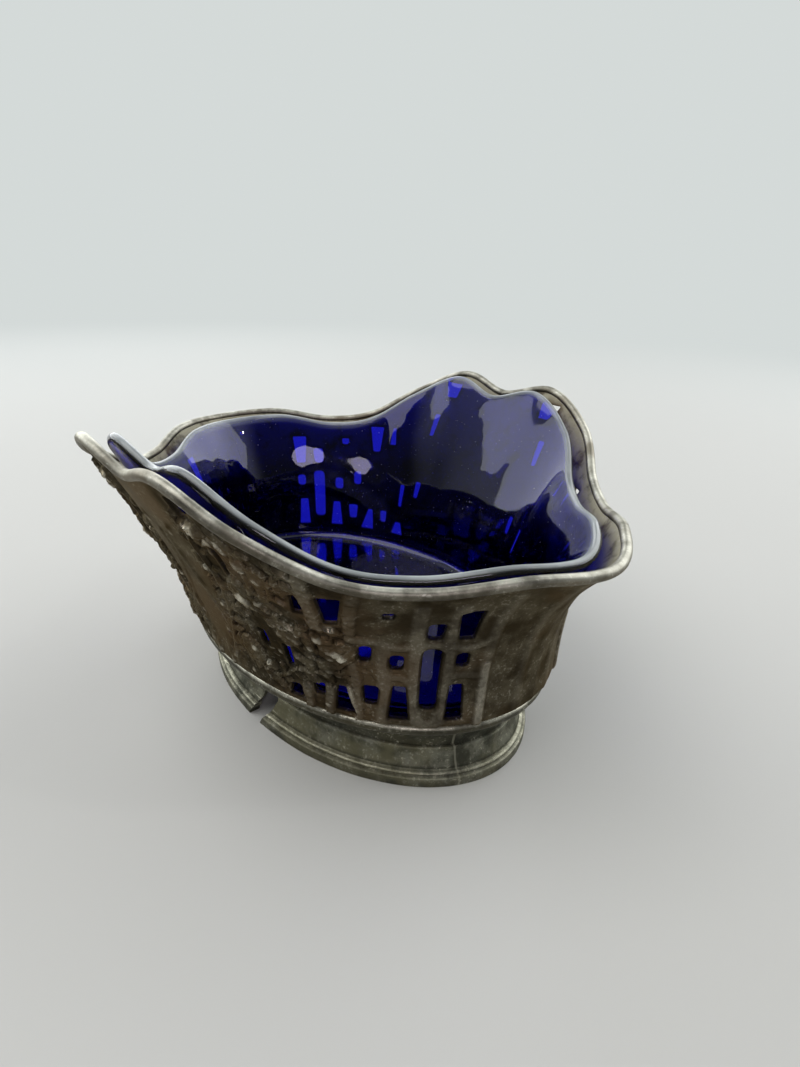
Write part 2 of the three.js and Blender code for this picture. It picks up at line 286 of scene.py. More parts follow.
@dataclass(frozen=True)
class AgedMetal:
    """Pewter or worn plate: dark tarnish, brown or green in places, rubbed pale where it stands proud.
    Its pale tops, crests and upper sides are also painted highlights, and its dark hollows also painted
    shade.

    Sizes are millimetres, and the seam's place is a polar angle in degrees.
    """

    name: str
    dark: Colour
    mid: Colour
    tint: Colour
    # Pale colour of wear, which also paints highlights where the mesh or the upper side is marked.
    worn_and_lit: Colour
    metallic: float = 0.85
    rough: float = 0.5
    polish: float = 0.2
    tint_size: float = 26.0
    cloud_size: float = 7.0
    speck_size: float = 0.9
    grain_size: float = 0.28
    wear: float = 0.5
    scratches: float = 0.5
    pitting: float = 0.35
    # How pale the upper side and the mesh's rubbed marks are painted: wear together with painted
    # highlight.
    rubbed_and_lit_top: float = 0.0
    rubbed_and_lit_from: float = -0.1
    rubbed_and_lit_evenly: float = 0.3
    seam_angle: float | None = None
    seam_wander: float = 1.5
    has_relief: bool = False
    # Pale oxide colour of the inner face near the rim, which also stands for painted light falling in.
    inner: Colour = (0.36, 0.34, 0.25)
    edge: Colour = (0.62, 0.54, 0.42)

    def build(self) -> bpy.types.Material:
        """Build the material.

        Returns:
            The material, which reads Object coordinates and, on the walls and the foot, what the mesh
            holds of relief, whose hollows it darkens as tarnish and painted shade, of rubbing, which it
            paints pale as wear and painted highlight, and of the inside, which it paints paler as light
            falling in.
        """
        material, graph, shader = new_material(self.name)
        coordinates = graph.add("ShaderNodeTexCoord")
        where = Sock(graph, coordinates.outputs["Object"])
        clouds = graph.noise(where, self.cloud_size, 6.0, 0.6)
        patches = graph.noise(where, self.tint_size, 3.0)
        specks = graph.noise(where, self.speck_size, 4.0, 0.7)
        grain = graph.noise(where, self.grain_size, 3.0, 0.6)
        colour = graph.colour_mix(clouds.step(0.36, 0.66), self.dark, self.mid)
        colour = graph.colour_mix(patches.step(0.44, 0.64) * 0.75, colour, self.tint)
        lines = self._scratches(graph, where)
        if self.seam_angle is not None:
            lines = lines + self._seam(graph, where, patches)
        bright = specks.step(0.52, 0.72) * clouds.step(0.4, 0.62) * self.wear + lines
        # Upper side paler: wear, and a painted highlight of the light from above.
        if self.rubbed_and_lit_top:
            upward = graph.split(coordinates.outputs["Normal"])[2].step(self.rubbed_and_lit_from, 0.9)
            bright = bright + upward * (0.35 + clouds.step(0.35, 0.65)) * self.rubbed_and_lit_top
        rough = self.rough + (clouds - 0.5) * 0.35
        metallic: Any = self.metallic
        if self.has_relief:
            relief, rubbed_and_lit, inside = (graph.attribute(name) for name in ("relief", "rubbed_and_lit", "inside"))
            patchy = clouds.step(0.35, 0.6) * 0.45 + specks.step(0.34, 0.6) * 0.35
            # Rubbed marks pale: wear, and painted glints on tops and crests.
            bright = bright + rubbed_and_lit * (self.rubbed_and_lit_evenly + patchy)
            # Darker in hollows and corners: tarnish there, and painted shade.
            hollow = (0.0 - relief).step(0.02, 0.35)
            tarnish_and_shade = tuple(channel * 0.35 for channel in self.dark)
            colour = graph.colour_mix(hollow * 0.65, colour, tarnish_and_shade)
            # Inner face paler towards the rim: oxide colour, and painted light falling in from above.
            colour = graph.colour_mix(inside * clouds.step(0.3, 0.5) * 0.8, colour, self.inner)
            rough = rough + hollow * 0.15 - relief.step(0.2, 0.9) * 0.12 - rubbed_and_lit * 0.1
            metallic = self.metallic * (1.0 - inside * 0.75)
        bright = bright.clamped()
        height = specks * 0.5 * self.pitting + grain * 0.18 * self.pitting + clouds * 0.25 - lines * 0.25
        values = {
            "Metallic": metallic,
            "Specular Tint": (*self.edge, 1.0),
            "Base Color": graph.colour_mix(bright, colour, self.worn_and_lit),
            "Roughness": (rough - bright * self.polish).clamped(),
            "Normal": graph.bump(0.4, 0.6 * MM, height),
        }
        graph.fill(shader, values)
        return material

    def _seam(self, graph: Graph, where: Sock, patches: Sock) -> Sock:
        """Draw the hairline of a soldered joint down the metal.

        Args:
            graph: The material's graph.
            where: The coordinates, in metres.
            patches: Noise that makes the line wander.

        Returns:
            A value above 0 on the line.
        """
        turn = math.radians(self.seam_angle)
        across = (-math.sin(turn), math.cos(turn), 0.0)
        offset = graph.vector("DOT_PRODUCT", where, across) + (patches - 0.5) * (self.seam_wander * MM)
        return (1.0 - offset.maths("ABSOLUTE").step(0.1 * MM, 0.4 * MM)) * 0.28

    def _scratches(self, graph: Graph, where: Sock) -> Sock:
        """Lay two families of fine scratches.

        Args:
            graph: The material's graph.
            where: The coordinates, in metres.

        Returns:
            A value from 0 to about 1 on the scratches.
        """
        families = []
        for turn, scale in (((0.3, 0.2, 0.9), (14, 700, 620)), ((0.9, 0.1, -0.5), (620, 18, 760))):
            placed = graph.sock("ShaderNodeMapping", {"Vector": where, "Rotation": turn, "Scale": scale})
            values = {"Vector": placed, "Scale": 1.6, "Detail": 2.0, "Roughness": 0.5}
            families.append(graph.sock("ShaderNodeTexNoise", values, "Fac").step(0.66, 0.76))
        area = graph.noise(where, 11.0, 2.0).step(0.42, 0.7)
        return (families[0] + families[1]) * area * self.scratches


@dataclass(frozen=True)
class CobaltGlass:
    """Deep blue blown glass: blue against the light, nearly black over metal, satin along its lip and
    painted pale on the lip's upper inner side as a highlight.
    """

    name: str = "Cobalt Glass"
    blue: Colour = (0.008, 0.009, 0.56)
    dust: Colour = (0.5, 0.52, 0.6)
    # Pale colour of the lip's satin, which also paints a highlight on its upper inner side.
    satin_and_sheen: Colour = (0.40, 0.435, 0.45)
    satin_and_sheen_rough: float = 0.2
    ior: float = 1.5

    def build(self) -> bpy.types.Material:
        """Build the material.

        Returns:
            The material, with faint smears and specks on a polished surface. It reads the lip attribute,
            to lay a satin finish and a painted highlight on the lip.
        """
        material, graph, shader = new_material(self.name)
        where = graph.sock("ShaderNodeTexCoord", output="Object")
        smears = graph.noise(where, 16.0, 3.0)
        specks = graph.noise(where, 0.8, 2.0, 0.6).step(0.70, 0.76)
        waves = graph.noise(where, 12.0, 2.0)
        values = {
            "Transmission Weight": 1.0,
            "IOR": self.ior,
            "Base Color": graph.colour_mix(specks * 0.3, self.blue, self.dust),
            "Roughness": 0.02 + smears.step(0.5, 0.75) * 0.05 + specks * 0.35,
            "Normal": graph.bump(0.08, 1.0 * MM, waves),
        }
        graph.fill(shader, values)
        values = {"Base Color": (*self.satin_and_sheen, 1.0), "Roughness": self.satin_and_sheen_rough}
        satin_and_sheen = graph.add("ShaderNodeBsdfPrincipled", values)
        # Satin finish and painted highlight where the lip faces up and in.
        share = (graph.attribute("lip") * (0.55 + smears.step(0.3, 0.7) * 0.4)).clamped()
        graph.show_mix(share, shader, satin_and_sheen)
        return material


# Plan and wall surface

# Where the flare of the sides turns into that of the ends, by the cosine of twice the polar angle
END_ZONE = (-0.3, 0.6)


def spline(p0: Array, p1: Array, p2: Array, p3: Array, t: Array) -> Array:
    """Run a smooth curve from p1 at t = 0 to p2 at t = 1, where p0 and p3 lie beyond them."""
    bend = (-p0 + 3 * p1 - 3 * p2 + p3) * t**3 + (2 * p0 - 5 * p1 + 4 * p2 - p3) * t**2
    return 0.5 * (2 * p1 + (p2 - p0) * t + bend)


def oval_reach(length: Any, width: Any, angle: Any) -> Array:
    """Distance from the middle of an oval to its edge at polar angles."""
    return 1 / np.hypot(2 * np.cos(angle) / length, 2 * np.sin(angle) / width)


def smooth_step(value: Array, low: float, high: float) -> Array:
    """Rise smoothly from 0 at low to 1 at high."""
    t = np.clip((value - low) / (high - low), 0, 1)
    return t * t * (3 - 2 * t)


def unit(vectors: Array) -> Array:
    """Scale vectors to a length of 1."""
    return vectors / np.linalg.norm(vectors, axis=-1, keepdims=True)


@dataclass(frozen=True)
class Rim:
    """The wavy rim: reach and height every 15 degrees from an end to the middle of a side."""

    stations: tuple[tuple[float, float], ...] = (
        (79.0, 67.8),
        (73.6, 68.6),
        (67.6, 66.1),
        (66.6, 68.2),
        (69.8, 77.7),
        (69.1, 85.6),
        (65.8, 81.9),
    )

    def at(self, angle: Array) -> tuple[Array, Array]:
        """Find the rim at polar angles.

        Args:
            angle: Angles in radians.

        Returns:
            Reach and height in millimetres.
        """
        half = [*self.stations, *self.stations[-2:0:-1]]
        ring = np.array(half + half)
        count = len(ring)
        place = (np.asarray(angle) / FULL_TURN % 1.0) * count
        base = np.floor(place).astype(int)
        corners = (ring[(base + k) % count] for k in (-1, 0, 1, 2))
        value = spline(*corners, (place - base)[..., None])
        return value[..., 0], value[..., 1]


@dataclass(frozen=True)
class Skin:
    """The middle surface of a flared wall, from an oval base up to the wavy rim."""

    length: float
    width: float
    floor: float
    heel: float
    inset: float = 0.0
    rise: float = 0.0
    flare_at_ends: float = 3.2
    flare_at_sides: float = 1.5
    rim: Rim = field(default_factory=Rim)

    def climb_total(self, angle: Array) -> Array:
        """Height from the floor to the rim at polar angles."""
        return self.rim.at(angle)[1] + self.rise - self.floor

    def reach(self, angle: Array, share: Array) -> Array:
        """Distance from the middle axis.

        Args:
            angle: Polar angles.
            share: Share of the height, from 0 at the floor to 1 at the rim.

        Returns:
            The distances in millimetres.
        """
        share = np.clip(share, 0.0, None)
        start = oval_reach(self.length, self.width, angle)
        towards_end = smooth_step(np.cos(2 * angle), *END_ZONE)
        flare = self.flare_at_sides + (self.flare_at_ends - self.flare_at_sides) * towards_end
        out = (self.rim.at(angle)[0] - self.inset - start) * share**flare
        short = np.clip(1 - share * self.climb_total(angle) / self.heel, 0, 1)
        return start + out - self.heel * (1 - np.sqrt(1 - short**2))

    def point(self, angle: Array, share: Array) -> Array:
        """Points of the surface as an array of x, y, z rows in millimetres."""
        height = self.floor + share * self.climb_total(angle)
        return round_points(self.reach(angle, share), angle, height)

    def frame(self, angle: Array, share: Array) -> tuple[Array, Array]:
        """Find points with their outward directions.

        Args:
            angle: Polar angles.
            share: Shares of the height.

        Returns:
            Points, and unit normals pointing out.
        """
        nudge = 0.0005
        here = self.point(angle, share)
        up = unit(self.point(angle, share + nudge) - here)
        along = self.point(angle + nudge, share) - self.point(angle - nudge, share)
        return here, unit(np.cross(along, up))


def round_points(reach: Array, angle: Any, height: Array) -> Array:
    """Rows of x, y and z from reaches, polar angles and heights."""
    return np.stack([reach * np.cos(angle), reach * np.sin(angle), height], -1)


# Meshes


def add_object(name: str, data: Any) -> bpy.types.Object:
    """Make an object and link it to the scene.

    Args:
        name: The object's name.
        data: Its mesh, lamp or camera.

    Returns:
        The object.
    """
    obj = bpy.data.objects.new(name, data)
    bpy.context.scene.collection.objects.link(obj)
    return obj


def mesh_object(
    name: str,
    points: Any,
    faces: Iterable[Sequence[int]],
    material: bpy.types.Material | None = None,
    edges: Sequence[Sequence[int]] = (),
) -> bpy.types.Object:
    """Make a mesh object from points in millimetres.

    Args:
        name: The object's name.
        points: Rows of x, y, z.
        faces: Corners of each face.
        material: Its finish.
        edges: Ends of each loose edge.

    Returns:
        The object, linked to the scene.
    """
    mesh = bpy.data.meshes.new(name)
    mesh.from_pydata((np.asarray(points) * MM).tolist(), edges, [list(f) for f in faces])
    mesh.validate()
    if material:
        mesh.materials.append(material)
    return add_object(name, mesh)


def path_object(name: str, points: Array) -> bpy.types.Object:
    """Make a closed loop of edges from points in millimetres."""
    count = len(points)
    return mesh_object(name, points, [], edges=[(k, (k + 1) % count) for k in range(count)])


def read_vectors(mesh: bpy.types.Mesh, name: str) -> Array:
    """Read a vector of every point of a mesh.

    Args:
        mesh: The mesh.
        name: What to read: co for the places, normal for the normals.

    Returns:
        A row for each point.
    """
    values = np.empty(len(mesh.vertices) * 3)
    mesh.vertices.foreach_get(name, values)
    return values.reshape(-1, 3)


def write_values(mesh: bpy.types.Mesh, name: str, values: Array) -> None:
    """Store a value at each point of a mesh, for its material to read."""
    attribute = mesh.attributes.new(name, "FLOAT", "POINT")
    attribute.data.foreach_set("value", values.astype(np.float32))


def finish_shading(mesh: bpy.types.Mesh) -> None:
    """Shade smooth, with sharp edges past an angle."""
    mesh.shade_smooth()
    mesh.set_sharp_from_angle(angle=SHARP_ANGLE)


def ring_faces(around: int, section: int) -> list[list[int]]:
    """Quads of a tube that closes round an axis.

    Args:
        around: Number of sections.
        section: Points in a section, whose last joins the first.

    Returns:
        The quads, for points ordered section by section.
    """
    faces = []
    for i in range(around):
        here, there = i * section, (i + 1) % around * section
        for j in range(section):
            k = (j + 1) % section
            faces.append([here + j, there + j, there + k, here + k])
    return faces


def settle(obj: bpy.types.Object) -> None:
    """Turn an object with modifiers into a plain mesh of the same name.

    Args:
        obj: The object, which keeps its evaluated mesh and no modifiers.
    """
    old = obj.data
    evaluated = obj.evaluated_get(bpy.context.evaluated_depsgraph_get())
    obj.data = bpy.data.meshes.new_from_object(evaluated)
    obj.modifiers.clear()
    obj.data.name = obj.name
    bpy.data.meshes.remove(old)


def place(obj: bpy.types.Object, body: Body, slot: Slot, node: str) -> None:
    """Put a piece on its body, in place of its solid.

    Args:
        obj: The piece.
        body: The body it rides on.
        slot: Not used.
        node: The solid that it replaces.
    """
    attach(obj, body.value)
    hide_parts(node)
    LOG.info("%s: %d faces", obj.name, len(obj.data.polygons))


class Tree(Graph):
    """A geometry tree with named inputs, used as a modifier."""

    KINDS = {float: "NodeSocketFloat", int: "NodeSocketInt", type(None): "NodeSocketMaterial"}

    def __init__(self, name: str, inputs: dict[str, float | int]) -> None:
        """Start the tree.

        Args:
            name: The tree's name.
            inputs: Default value of each input by name, next to Geometry and Finish.
        """
        super().__init__(bpy.data.node_groups.new(name, "GeometryNodeTree"))
        face = self.tree.interface
        for way in ("INPUT", "OUTPUT"):
            face.new_socket("Geometry", in_out=way, socket_type="NodeSocketGeometry")
        self.identifiers: dict[str, str] = {}
        for key, value in {**inputs, "Finish": None}.items():
            socket = face.new_socket(key, in_out="INPUT", socket_type=self.KINDS[type(value)])
            if value is not None:
                socket.default_value = value
            self.identifiers[key] = socket.identifier
        self.entry = self.tree.nodes.new("NodeGroupInput")
        self.exit = self.tree.nodes.new("NodeGroupOutput")

    def given(self, name: str) -> Sock:
        """Return one of the tree's inputs."""
        return Sock(self, self.entry.outputs[name])

    def close(self, surface: Sock, scale: Any, detail: float, unevenness: Sock) -> None:
        """End the tree with a smooth, slightly uneven surface in the given finish.

        Args:
            surface: The surface.
            scale: About how many lumps it has to a metre.
            detail: Octaves of finer lumps.
            unevenness: Height of the lumps in metres.
        """
        values = {"Vector": self.sock("GeometryNodeInputPosition"), "Scale": scale, "Detail": detail}
        lumps = self.sock("ShaderNodeTexNoise", values, "Fac")
        push = self.scaled(self.sock("GeometryNodeInputNormal"), (lumps - 0.5) * unevenness)
        moved = self.sock("GeometryNodeSetPosition", {"Geometry": surface, "Offset": push})
        smooth = self.sock("GeometryNodeSetShadeSmooth", {"Geometry": moved})
        real = self.sock("GeometryNodeRealizeInstances", {"Geometry": smooth})
        values = {"Geometry": real, "Material": self.given("Finish")}
        self.fill(self.exit, {"Geometry": self.sock("GeometryNodeSetMaterial", values)})

    def apply(self, obj: bpy.types.Object, values: dict[str, Any]) -> None:
        """Put the tree on an object.

        Args:
            obj: The object.
            values: Input values by name.
        """
        modifier = obj.modifiers.new(self.tree.name, "NODES")
        modifier.node_group = self.tree
        for name, value in values.items():
            modifier[self.identifiers[name]] = value


def wire_tree() -> Tree:
    """Build the tree that runs a slightly uneven wire along a closed path.

    Returns:
        The tree. Its inputs are Radius, Sides, Unevenness, Lump Size and Finish.
    """
    inputs = {"Radius": 0.001, "Sides": 20, "Unevenness": 0.0001, "Lump Size": 0.006}
    tree = Tree("Wire along a path", inputs)
    path = tree.sock("GeometryNodeMeshToCurve", {"Mesh": tree.given("Geometry")})
    values = {"Resolution": tree.given("Sides"), "Radius": tree.given("Radius")}
    circle = tree.sock("GeometryNodeCurvePrimitiveCircle", values)
    wire = tree.sock("GeometryNodeCurveToMesh", {"Curve": path, "Profile Curve": circle})
    tree.close(wire, 1.0 / tree.given("Lump Size"), 2.0, tree.given("Unevenness") * 2.0)
    return tree


@dataclass(frozen=True)
class Wire:
    """A wire soldered along a closed path."""

    name: str
    node: str
    diameter: float
    uneven: float
    sides: int = 20
    around: int = 720

    def build(self, tree: Tree, path: Callable[[Array], Array], metal: bpy.types.Material) -> None:
        """Build the wire and put it in place.

        Args:
            tree: The geometry tree that makes it.
            path: Gives the middle of the wire at polar angles.
            metal: Its finish.
        """
        angle = np.linspace(0, FULL_TURN, self.around, endpoint=False)
        obj = path_object(self.name, path(angle))
        values = {"Radius": self.diameter * MM / 2, "Sides": self.sides, "Unevenness": self.uneven * MM}
        tree.apply(obj, {**values, "Finish": metal})
        settle(obj)
        place(obj, Body.BASKET, Slot.WIRE, self.node)


# Openwork and relief

# Least share of an opening's half width that rounds its corners, and the spacing of its edge's points
LEAST_ROUND = 0.3
EDGE_SPACING = 0.42

# Rows of a grid of equal triangles, to a side of 1
HEX_ROW = 0.866

# Degrees from the long axis between which the wall carries fine ornament
ORNATE = (13.0, 82.0)

# Distance up to which an opening changes the wall round it, and one that nothing reaches
HOLE_REACH = 4.0
FAR_AWAY = 1e9


@dataclass(frozen=True)
class Opening:
    """One opening of a quarter: its angle in degrees, shares of the height, and widths in millimetres."""

    angle: float
    start: float
    end: float
    low: float
    high: float
    round: float
    slant: float = 0.0

    def outline(self, height: float) -> Array:
        """Trace the opening in millimetres.

        Args:
            height: Its height.

        Returns:
            Points anticlockwise, x from its middle line and y from its lower edge.
        """
        low, high = self.low / 2, self.high / 2
        tilt = self.slant
        corners = np.array([(-low, 0.0), (low, 0.0), (high + tilt, height), (-high + tilt, height)])
        radius = max(self.round, LEAST_ROUND) * min(self.low, self.high, height) / 2
        points: list[Array] = []
        for k in range(4):
            before, here, after = corners[k - 1], corners[k], corners[(k + 1) % 4]
            enter = here + unit(before - here) * radius
            leave = here + unit(after - here) * radius
            for t in np.linspace(0, 1, 6):
                points.append((1 - t) ** 2 * enter + 2 * t * (1 - t) * here + t**2 * leave)
        return resampled(np.array(points), EDGE_SPACING)


def resampled(loop: Array, spacing: float) -> Array:
    """Space the points of a closed loop evenly.

    Args:
        loop: Points of the loop.
        spacing: Distance between points.

    Returns:
        The new points.
    """
    closed = np.vstack([loop, loop[:1]])
    length = run_lengths(closed)
    count = max(8, int(round(length[-1] / spacing)))
    at = np.linspace(0, length[-1], count, endpoint=False)
    return np.stack([np.interp(at, length, closed[:, k]) for k in range(2)], -1)


def run_lengths(path: Array) -> Array:
    """Length along a path up to each of its points."""
    return np.concatenate([[0], np.cumsum(np.linalg.norm(np.diff(path, axis=0), axis=1))])


# The openings of a quarter, from the end towards the middle of the side
OPENINGS = (
    Opening(19.9, 0.61, 0.82, 3.2, 5.0, 0.2, 0.6),
    Opening(19.7, 0.42, 0.51, 2.8, 2.8, 0.8),
    Opening(20.2, 0.06, 0.30, 4.0, 2.8, 0.2),
    Opening(26.1, 0.63, 0.75, 3.2, 3.7, 0.8),
    Opening(25.9, 0.14, 0.56, 3.7, 4.0, 0.9),
    Opening(35.8, 0.79, 0.84, 2.4, 2.8, 0.6),
    Opening(33.1, 0.41, 0.51, 3.0, 3.0, 0.8),
    Opening(32.1, 0.06, 0.29, 4.4, 2.6, 0.2),
    Opening(40.1, 0.45, 0.56, 2.7, 2.7, 0.8),
    Opening(38.5, 0.14, 0.27, 2.8, 3.6, 0.6),
    Opening(44.4, 0.05, 0.23, 5.0, 1.8, 0.2, 1.1),
    Opening(51.4, 0.12, 0.21, 2.4, 2.9, 0.7),
    Opening(47.1, 0.69, 0.88, 2.6, 5.2, 0.2),
    Opening(53.2, 0.69, 0.81, 2.6, 1.4, 0.3, 0.2),
    Opening(58.6, 0.24, 0.39, 1.6, 2.1, 0.6, 0.4),
    Opening(58.3, 0.04, 0.13, 5.0, 2.4, 0.3, 0.2),
    Opening(65.4, 0.30, 0.40, 2.0, 2.6, 0.6, 0.6),
    Opening(67.7, 0.67, 0.80, 2.2, 2.8, 0.5, 1.4),
    Opening(72.5, 0.87, 0.95, 4.4, 7.0, 0.2),
)


@dataclass(frozen=True)
class Rib:
    """A raised bar or stem that runs through points of a quarter, each an angle and a share."""

    points: tuple[tuple[float, float], ...]
    width: float
    height: float


@dataclass(frozen=True)
class Blossom:
    """A rose seen from the front, in low relief."""

    angle: float
    share: float
    radius: float
    height: float = 1.2
    stretch: float = 1.0


@dataclass(frozen=True)
class Bud:
    """A small round dome: a bud, or a worn spot."""

    angle: float
    share: float
    radius: float
    height: float = 0.8


@dataclass(frozen=True)
class Leaf:
    """A pointed leaf with a midrib, in low relief."""

    angle: float
    share: float
    turn: float
    length: float
    width: float
    height: float = 0.8


# Rings of petals, as the share of the blossom's radius, the petals and the level of each
PETAL_RINGS = ((1.0, 5, 0.66), (0.7, 4, 0.86), (0.42, 3, 1.0))

# Degrees from the long axis over which the rose spray begins, thins out and ends
SPRAY_START = (38.0, 46.0)
SPRAY_THINS = (66.0, 78.0)
SPRAY_END = (77.0, 81.0)

# Share of its drawn height that the spray keeps, and the depth of the ground between its leaves
SPRAY_HEIGHT = 0.85
GROUND_DEPTH = 0.3

# Lumps that break up the spray: spacing, height, the place where the spacing is exact, and seed
LUMP_SPACING = 2.1
LUMP_HEIGHT = 0.42
LUMP_PLACE = (60.0, 0.5)
LUMP_SEED = 7

# Where the leaves of a stem begin, their spacing, least length and how much longer they can be
FIRST_LEAF = 1.6
LEAF_SPACING = 2.3
LEAF_LENGTH = 3.6
LEAF_GROWTH = 1.8
LEAF_SEED = 11

# The bars between the openings
LATTICE = (
    Rib(((15.0, 0.03), (14.8, 0.20), (14.8, 0.34), (14.8, 0.42)), 2.6, 0.8),
    Rib(((14.8, 0.30), (14.7, 0.49), (14.6, 0.72), (14.2, 0.90)), 3.2, 0.35),
    Rib(((23.1, 0.10), (22.8, 0.39), (23.1, 0.59), (22.8, 0.86)), 3.7, 0.45),
    Rib(((23.1, 0.10), (24.1, 0.05), (25.9, 0.03), (27.7, 0.05), (28.7, 0.10)), 3.4, 0.5),
    Rib(((28.7, 0.10), (28.9, 0.39), (29.4, 0.60), (30.0, 0.88)), 3.7, 0.45),
    Rib(((35.5, 0.02), (35.4, 0.30), (36.2, 0.59)), 3.7, 0.4),
    Rib(((41.2, 0.03), (41.6, 0.26), (43.0, 0.42)), 2.4, 0.4),
    Rib(((41.6, 0.04), (42.4, 0.13), (43.4, 0.24)), 1.4, 0.8),
    Rib(((48.6, 0.02), (48.4, 0.20)), 2.6, 0.4),
    Rib(((54.6, 0.02), (54.8, 0.16)), 2.6, 0.4),
    Rib(((50.3, 0.66), (50.8, 0.80), (51.4, 0.94)), 3.2, 0.45),
    Rib(((43.4, 0.66), (43.3, 0.80), (42.7, 0.93)), 3.2, 0.35),
    Rib(((16.2, 0.57), (19.7, 0.55), (22.9, 0.59), (26.2, 0.60), (29.6, 0.59)), 2.3, 0.4),
    Rib(((29.4, 0.59), (32.9, 0.57), (36.4, 0.60), (40.0, 0.61), (43.6, 0.61)), 2.3, 0.4),
    Rib(((16.5, 0.35), (19.9, 0.37), (22.6, 0.34)), 2.2, 0.35),
    Rib(((29.8, 0.33), (32.6, 0.36), (35.4, 0.34)), 2.2, 0.35),
    Rib(((5.6, 0.06), (5.3, 0.41), (5.0, 0.74), (4.6, 0.94)), 3.4, 0.32),
    Rib(((0.0, 0.06), (0.0, 0.41), (0.0, 0.74), (0.0, 0.94)), 3.0, 0.18),
    Rib(((88.6, 0.74), (87.6, 0.60), (84.0, 0.42), (80.8, 0.27), (83.5, 0.03)), 1.3, 0.35),
)

# The stems of the rose spray
STEMS = (
    Rib(((86.0, 0.03), (80.8, 0.20), (76.1, 0.40), (73.9, 0.58), (75.6, 0.74), (73.7, 0.82)), 1.2, 0.65),
    Rib(((76.1, 0.40), (69.6, 0.50), (64.2, 0.62), (61.8, 0.75), (62.7, 0.89)), 1.2, 0.6),
    Rib(((66.1, 0.57), (60.1, 0.56), (54.1, 0.55), (46.0, 0.49), (41.0, 0.38), (37.4, 0.38)), 1.1, 0.55),
    Rib(((80.8, 0.20), (73.0, 0.20), (67.0, 0.13), (61.6, 0.16), (56.4, 0.26), (50.0, 0.30)), 1.1, 0.55),
    Rib(((54.1, 0.55), (55.1, 0.44), (50.6, 0.38), (45.0, 0.31), (41.2, 0.33)), 1.0, 0.5),
    Rib(((64.2, 0.62), (58.7, 0.69), (57.2, 0.81), (54.2, 0.92)), 1.0, 0.5),
)

# The roses of the spray
BLOSSOMS = (
    Blossom(66.1, 0.609, 4.7, 1.3, 0.8),
    Blossom(45.6, 0.499, 4.1, 1.3, 1.3),
    Blossom(72.4, 0.217, 4.4, 1.2),
    Blossom(79.8, 0.298, 2.6, 0.9),
    Blossom(57.1, 0.470, 2.9, 1.0),
    Blossom(58.8, 0.819, 2.8, 0.9),
    Blossom(48.8, 0.362, 2.4, 0.9),
)

# The buds round them
BUDS = (
    Bud(69.9, 0.858, 1.7, 1.2),
    Bud(77.2, 0.656, 1.5),
    Bud(78.2, 0.599, 1.1, 0.6),
    Bud(62.9, 0.900, 1.4),
    Bud(62.1, 0.842, 1.6, 1.0),
    Bud(72.8, 0.556, 1.5),
    Bud(79.5, 0.447, 1.2, 0.7),
    Bud(78.3, 0.509, 0.9, 0.6),
    Bud(72.5, 0.444, 1.3),
    Bud(54.2, 0.548, 1.2),
    Bud(79.6, 0.199, 1.3),
    Bud(86.2, 0.096, 1.4),
    Bud(84.5, 0.780, 1.1, 0.6),
    Bud(39.0, 0.086, 1.0, 0.7),
    Bud(46.2, 0.323, 0.9, 0.6),
    Bud(49.3, 0.641, 1.1, 0.6),
    Bud(37.2, 0.688, 1.0, 0.5),
)

# Proud spots of the spray that are rubbed pale and painted as highlights
WORN_AND_LIT_SPOTS = (
    Bud(71.5, 0.849, 2.4, 0.35),
    Bud(69.6, 0.800, 1.5, 0.35),
    Bud(70.0, 0.750, 1.0, 0.3),
    Bud(64.8, 0.898, 1.0, 0.3),
    Bud(76.3, 0.620, 0.9, 0.3),
    Bud(66.0, 0.799, 0.8, 0.3),
    Bud(62.0, 0.821, 1.1, 0.35),
    Bud(66.0, 0.586, 2.1, 0.35),
    Bud(62.0, 0.623, 0.8, 0.3),
    Bud(85.0, 0.752, 0.8, 0.3),
    Bud(78.8, 0.414, 0.9, 0.3),
    Bud(50.3, 0.556, 1.2, 0.3),
    Bud(46.6, 0.485, 1.5, 0.35),
    Bud(45.2, 0.462, 1.4, 0.35),
    Bud(52.0, 0.476, 0.9, 0.3),
    Bud(54.5, 0.534, 0.8, 0.3),
    Bud(47.3, 0.665, 1.2, 0.25),
    Bud(83.0, 0.097, 1.0, 0.3),
    Bud(86.0, 0.055, 0.9, 0.3),
    Bud(82.8, 0.246, 0.9, 0.3),
    Bud(70.3, 0.246, 0.9, 0.3),
    Bud(67.0, 0.102, 1.0, 0.3),
    Bud(66.8, 0.189, 0.8, 0.3),
    Bud(61.3, 0.313, 0.8, 0.3),
    Bud(75.8, 0.060, 0.8, 0.3),
    Bud(49.0, 0.077, 0.8, 0.3),
)

# The leaves that stand by themselves, next to those that grow along the stems
LEAVES = (
    Leaf(76.0, 0.839, 1.75, 8.4, 2.3, 1.2),
    Leaf(73.8, 0.845, 1.7, 8.8, 2.3, 1.35),
    Leaf(71.7, 0.845, 1.65, 8.2, 2.2, 1.2),
    Leaf(64.9, 0.918, 0.5, 5.2, 2.4),
    Leaf(53.4, 0.938, 0.15, 6.0, 2.0),
    Leaf(59.6, 0.755, 1.2, 5.0, 2.2),
    Leaf(55.6, 0.841, 1.35, 5.4, 2.2),
    Leaf(59.7, 0.524, 0.2, 6.0, 2.4),
    Leaf(68.5, 0.387, 0.3, 4.8, 2.2),
    Leaf(67.0, 0.126, 0.8, 5.6, 2.2, 1.0),
    Leaf(63.6, 0.100, 0.9, 4.6, 1.8),
    Leaf(50.7, 0.570, 0.9, 3.6, 1.7, 1.0),
    Leaf(51.7, 0.484, 1.0, 4.2, 1.9, 1.0),
    Leaf(47.5, 0.647, 0.1, 5.6, 2.4),
    Leaf(54.7, 0.348, 0.5, 5.0, 2.0),
    Leaf(41.4, 0.337, 1.3, 4.6, 2.2),
    Leaf(37.3, 0.388, 1.5, 5.6, 2.4),
)


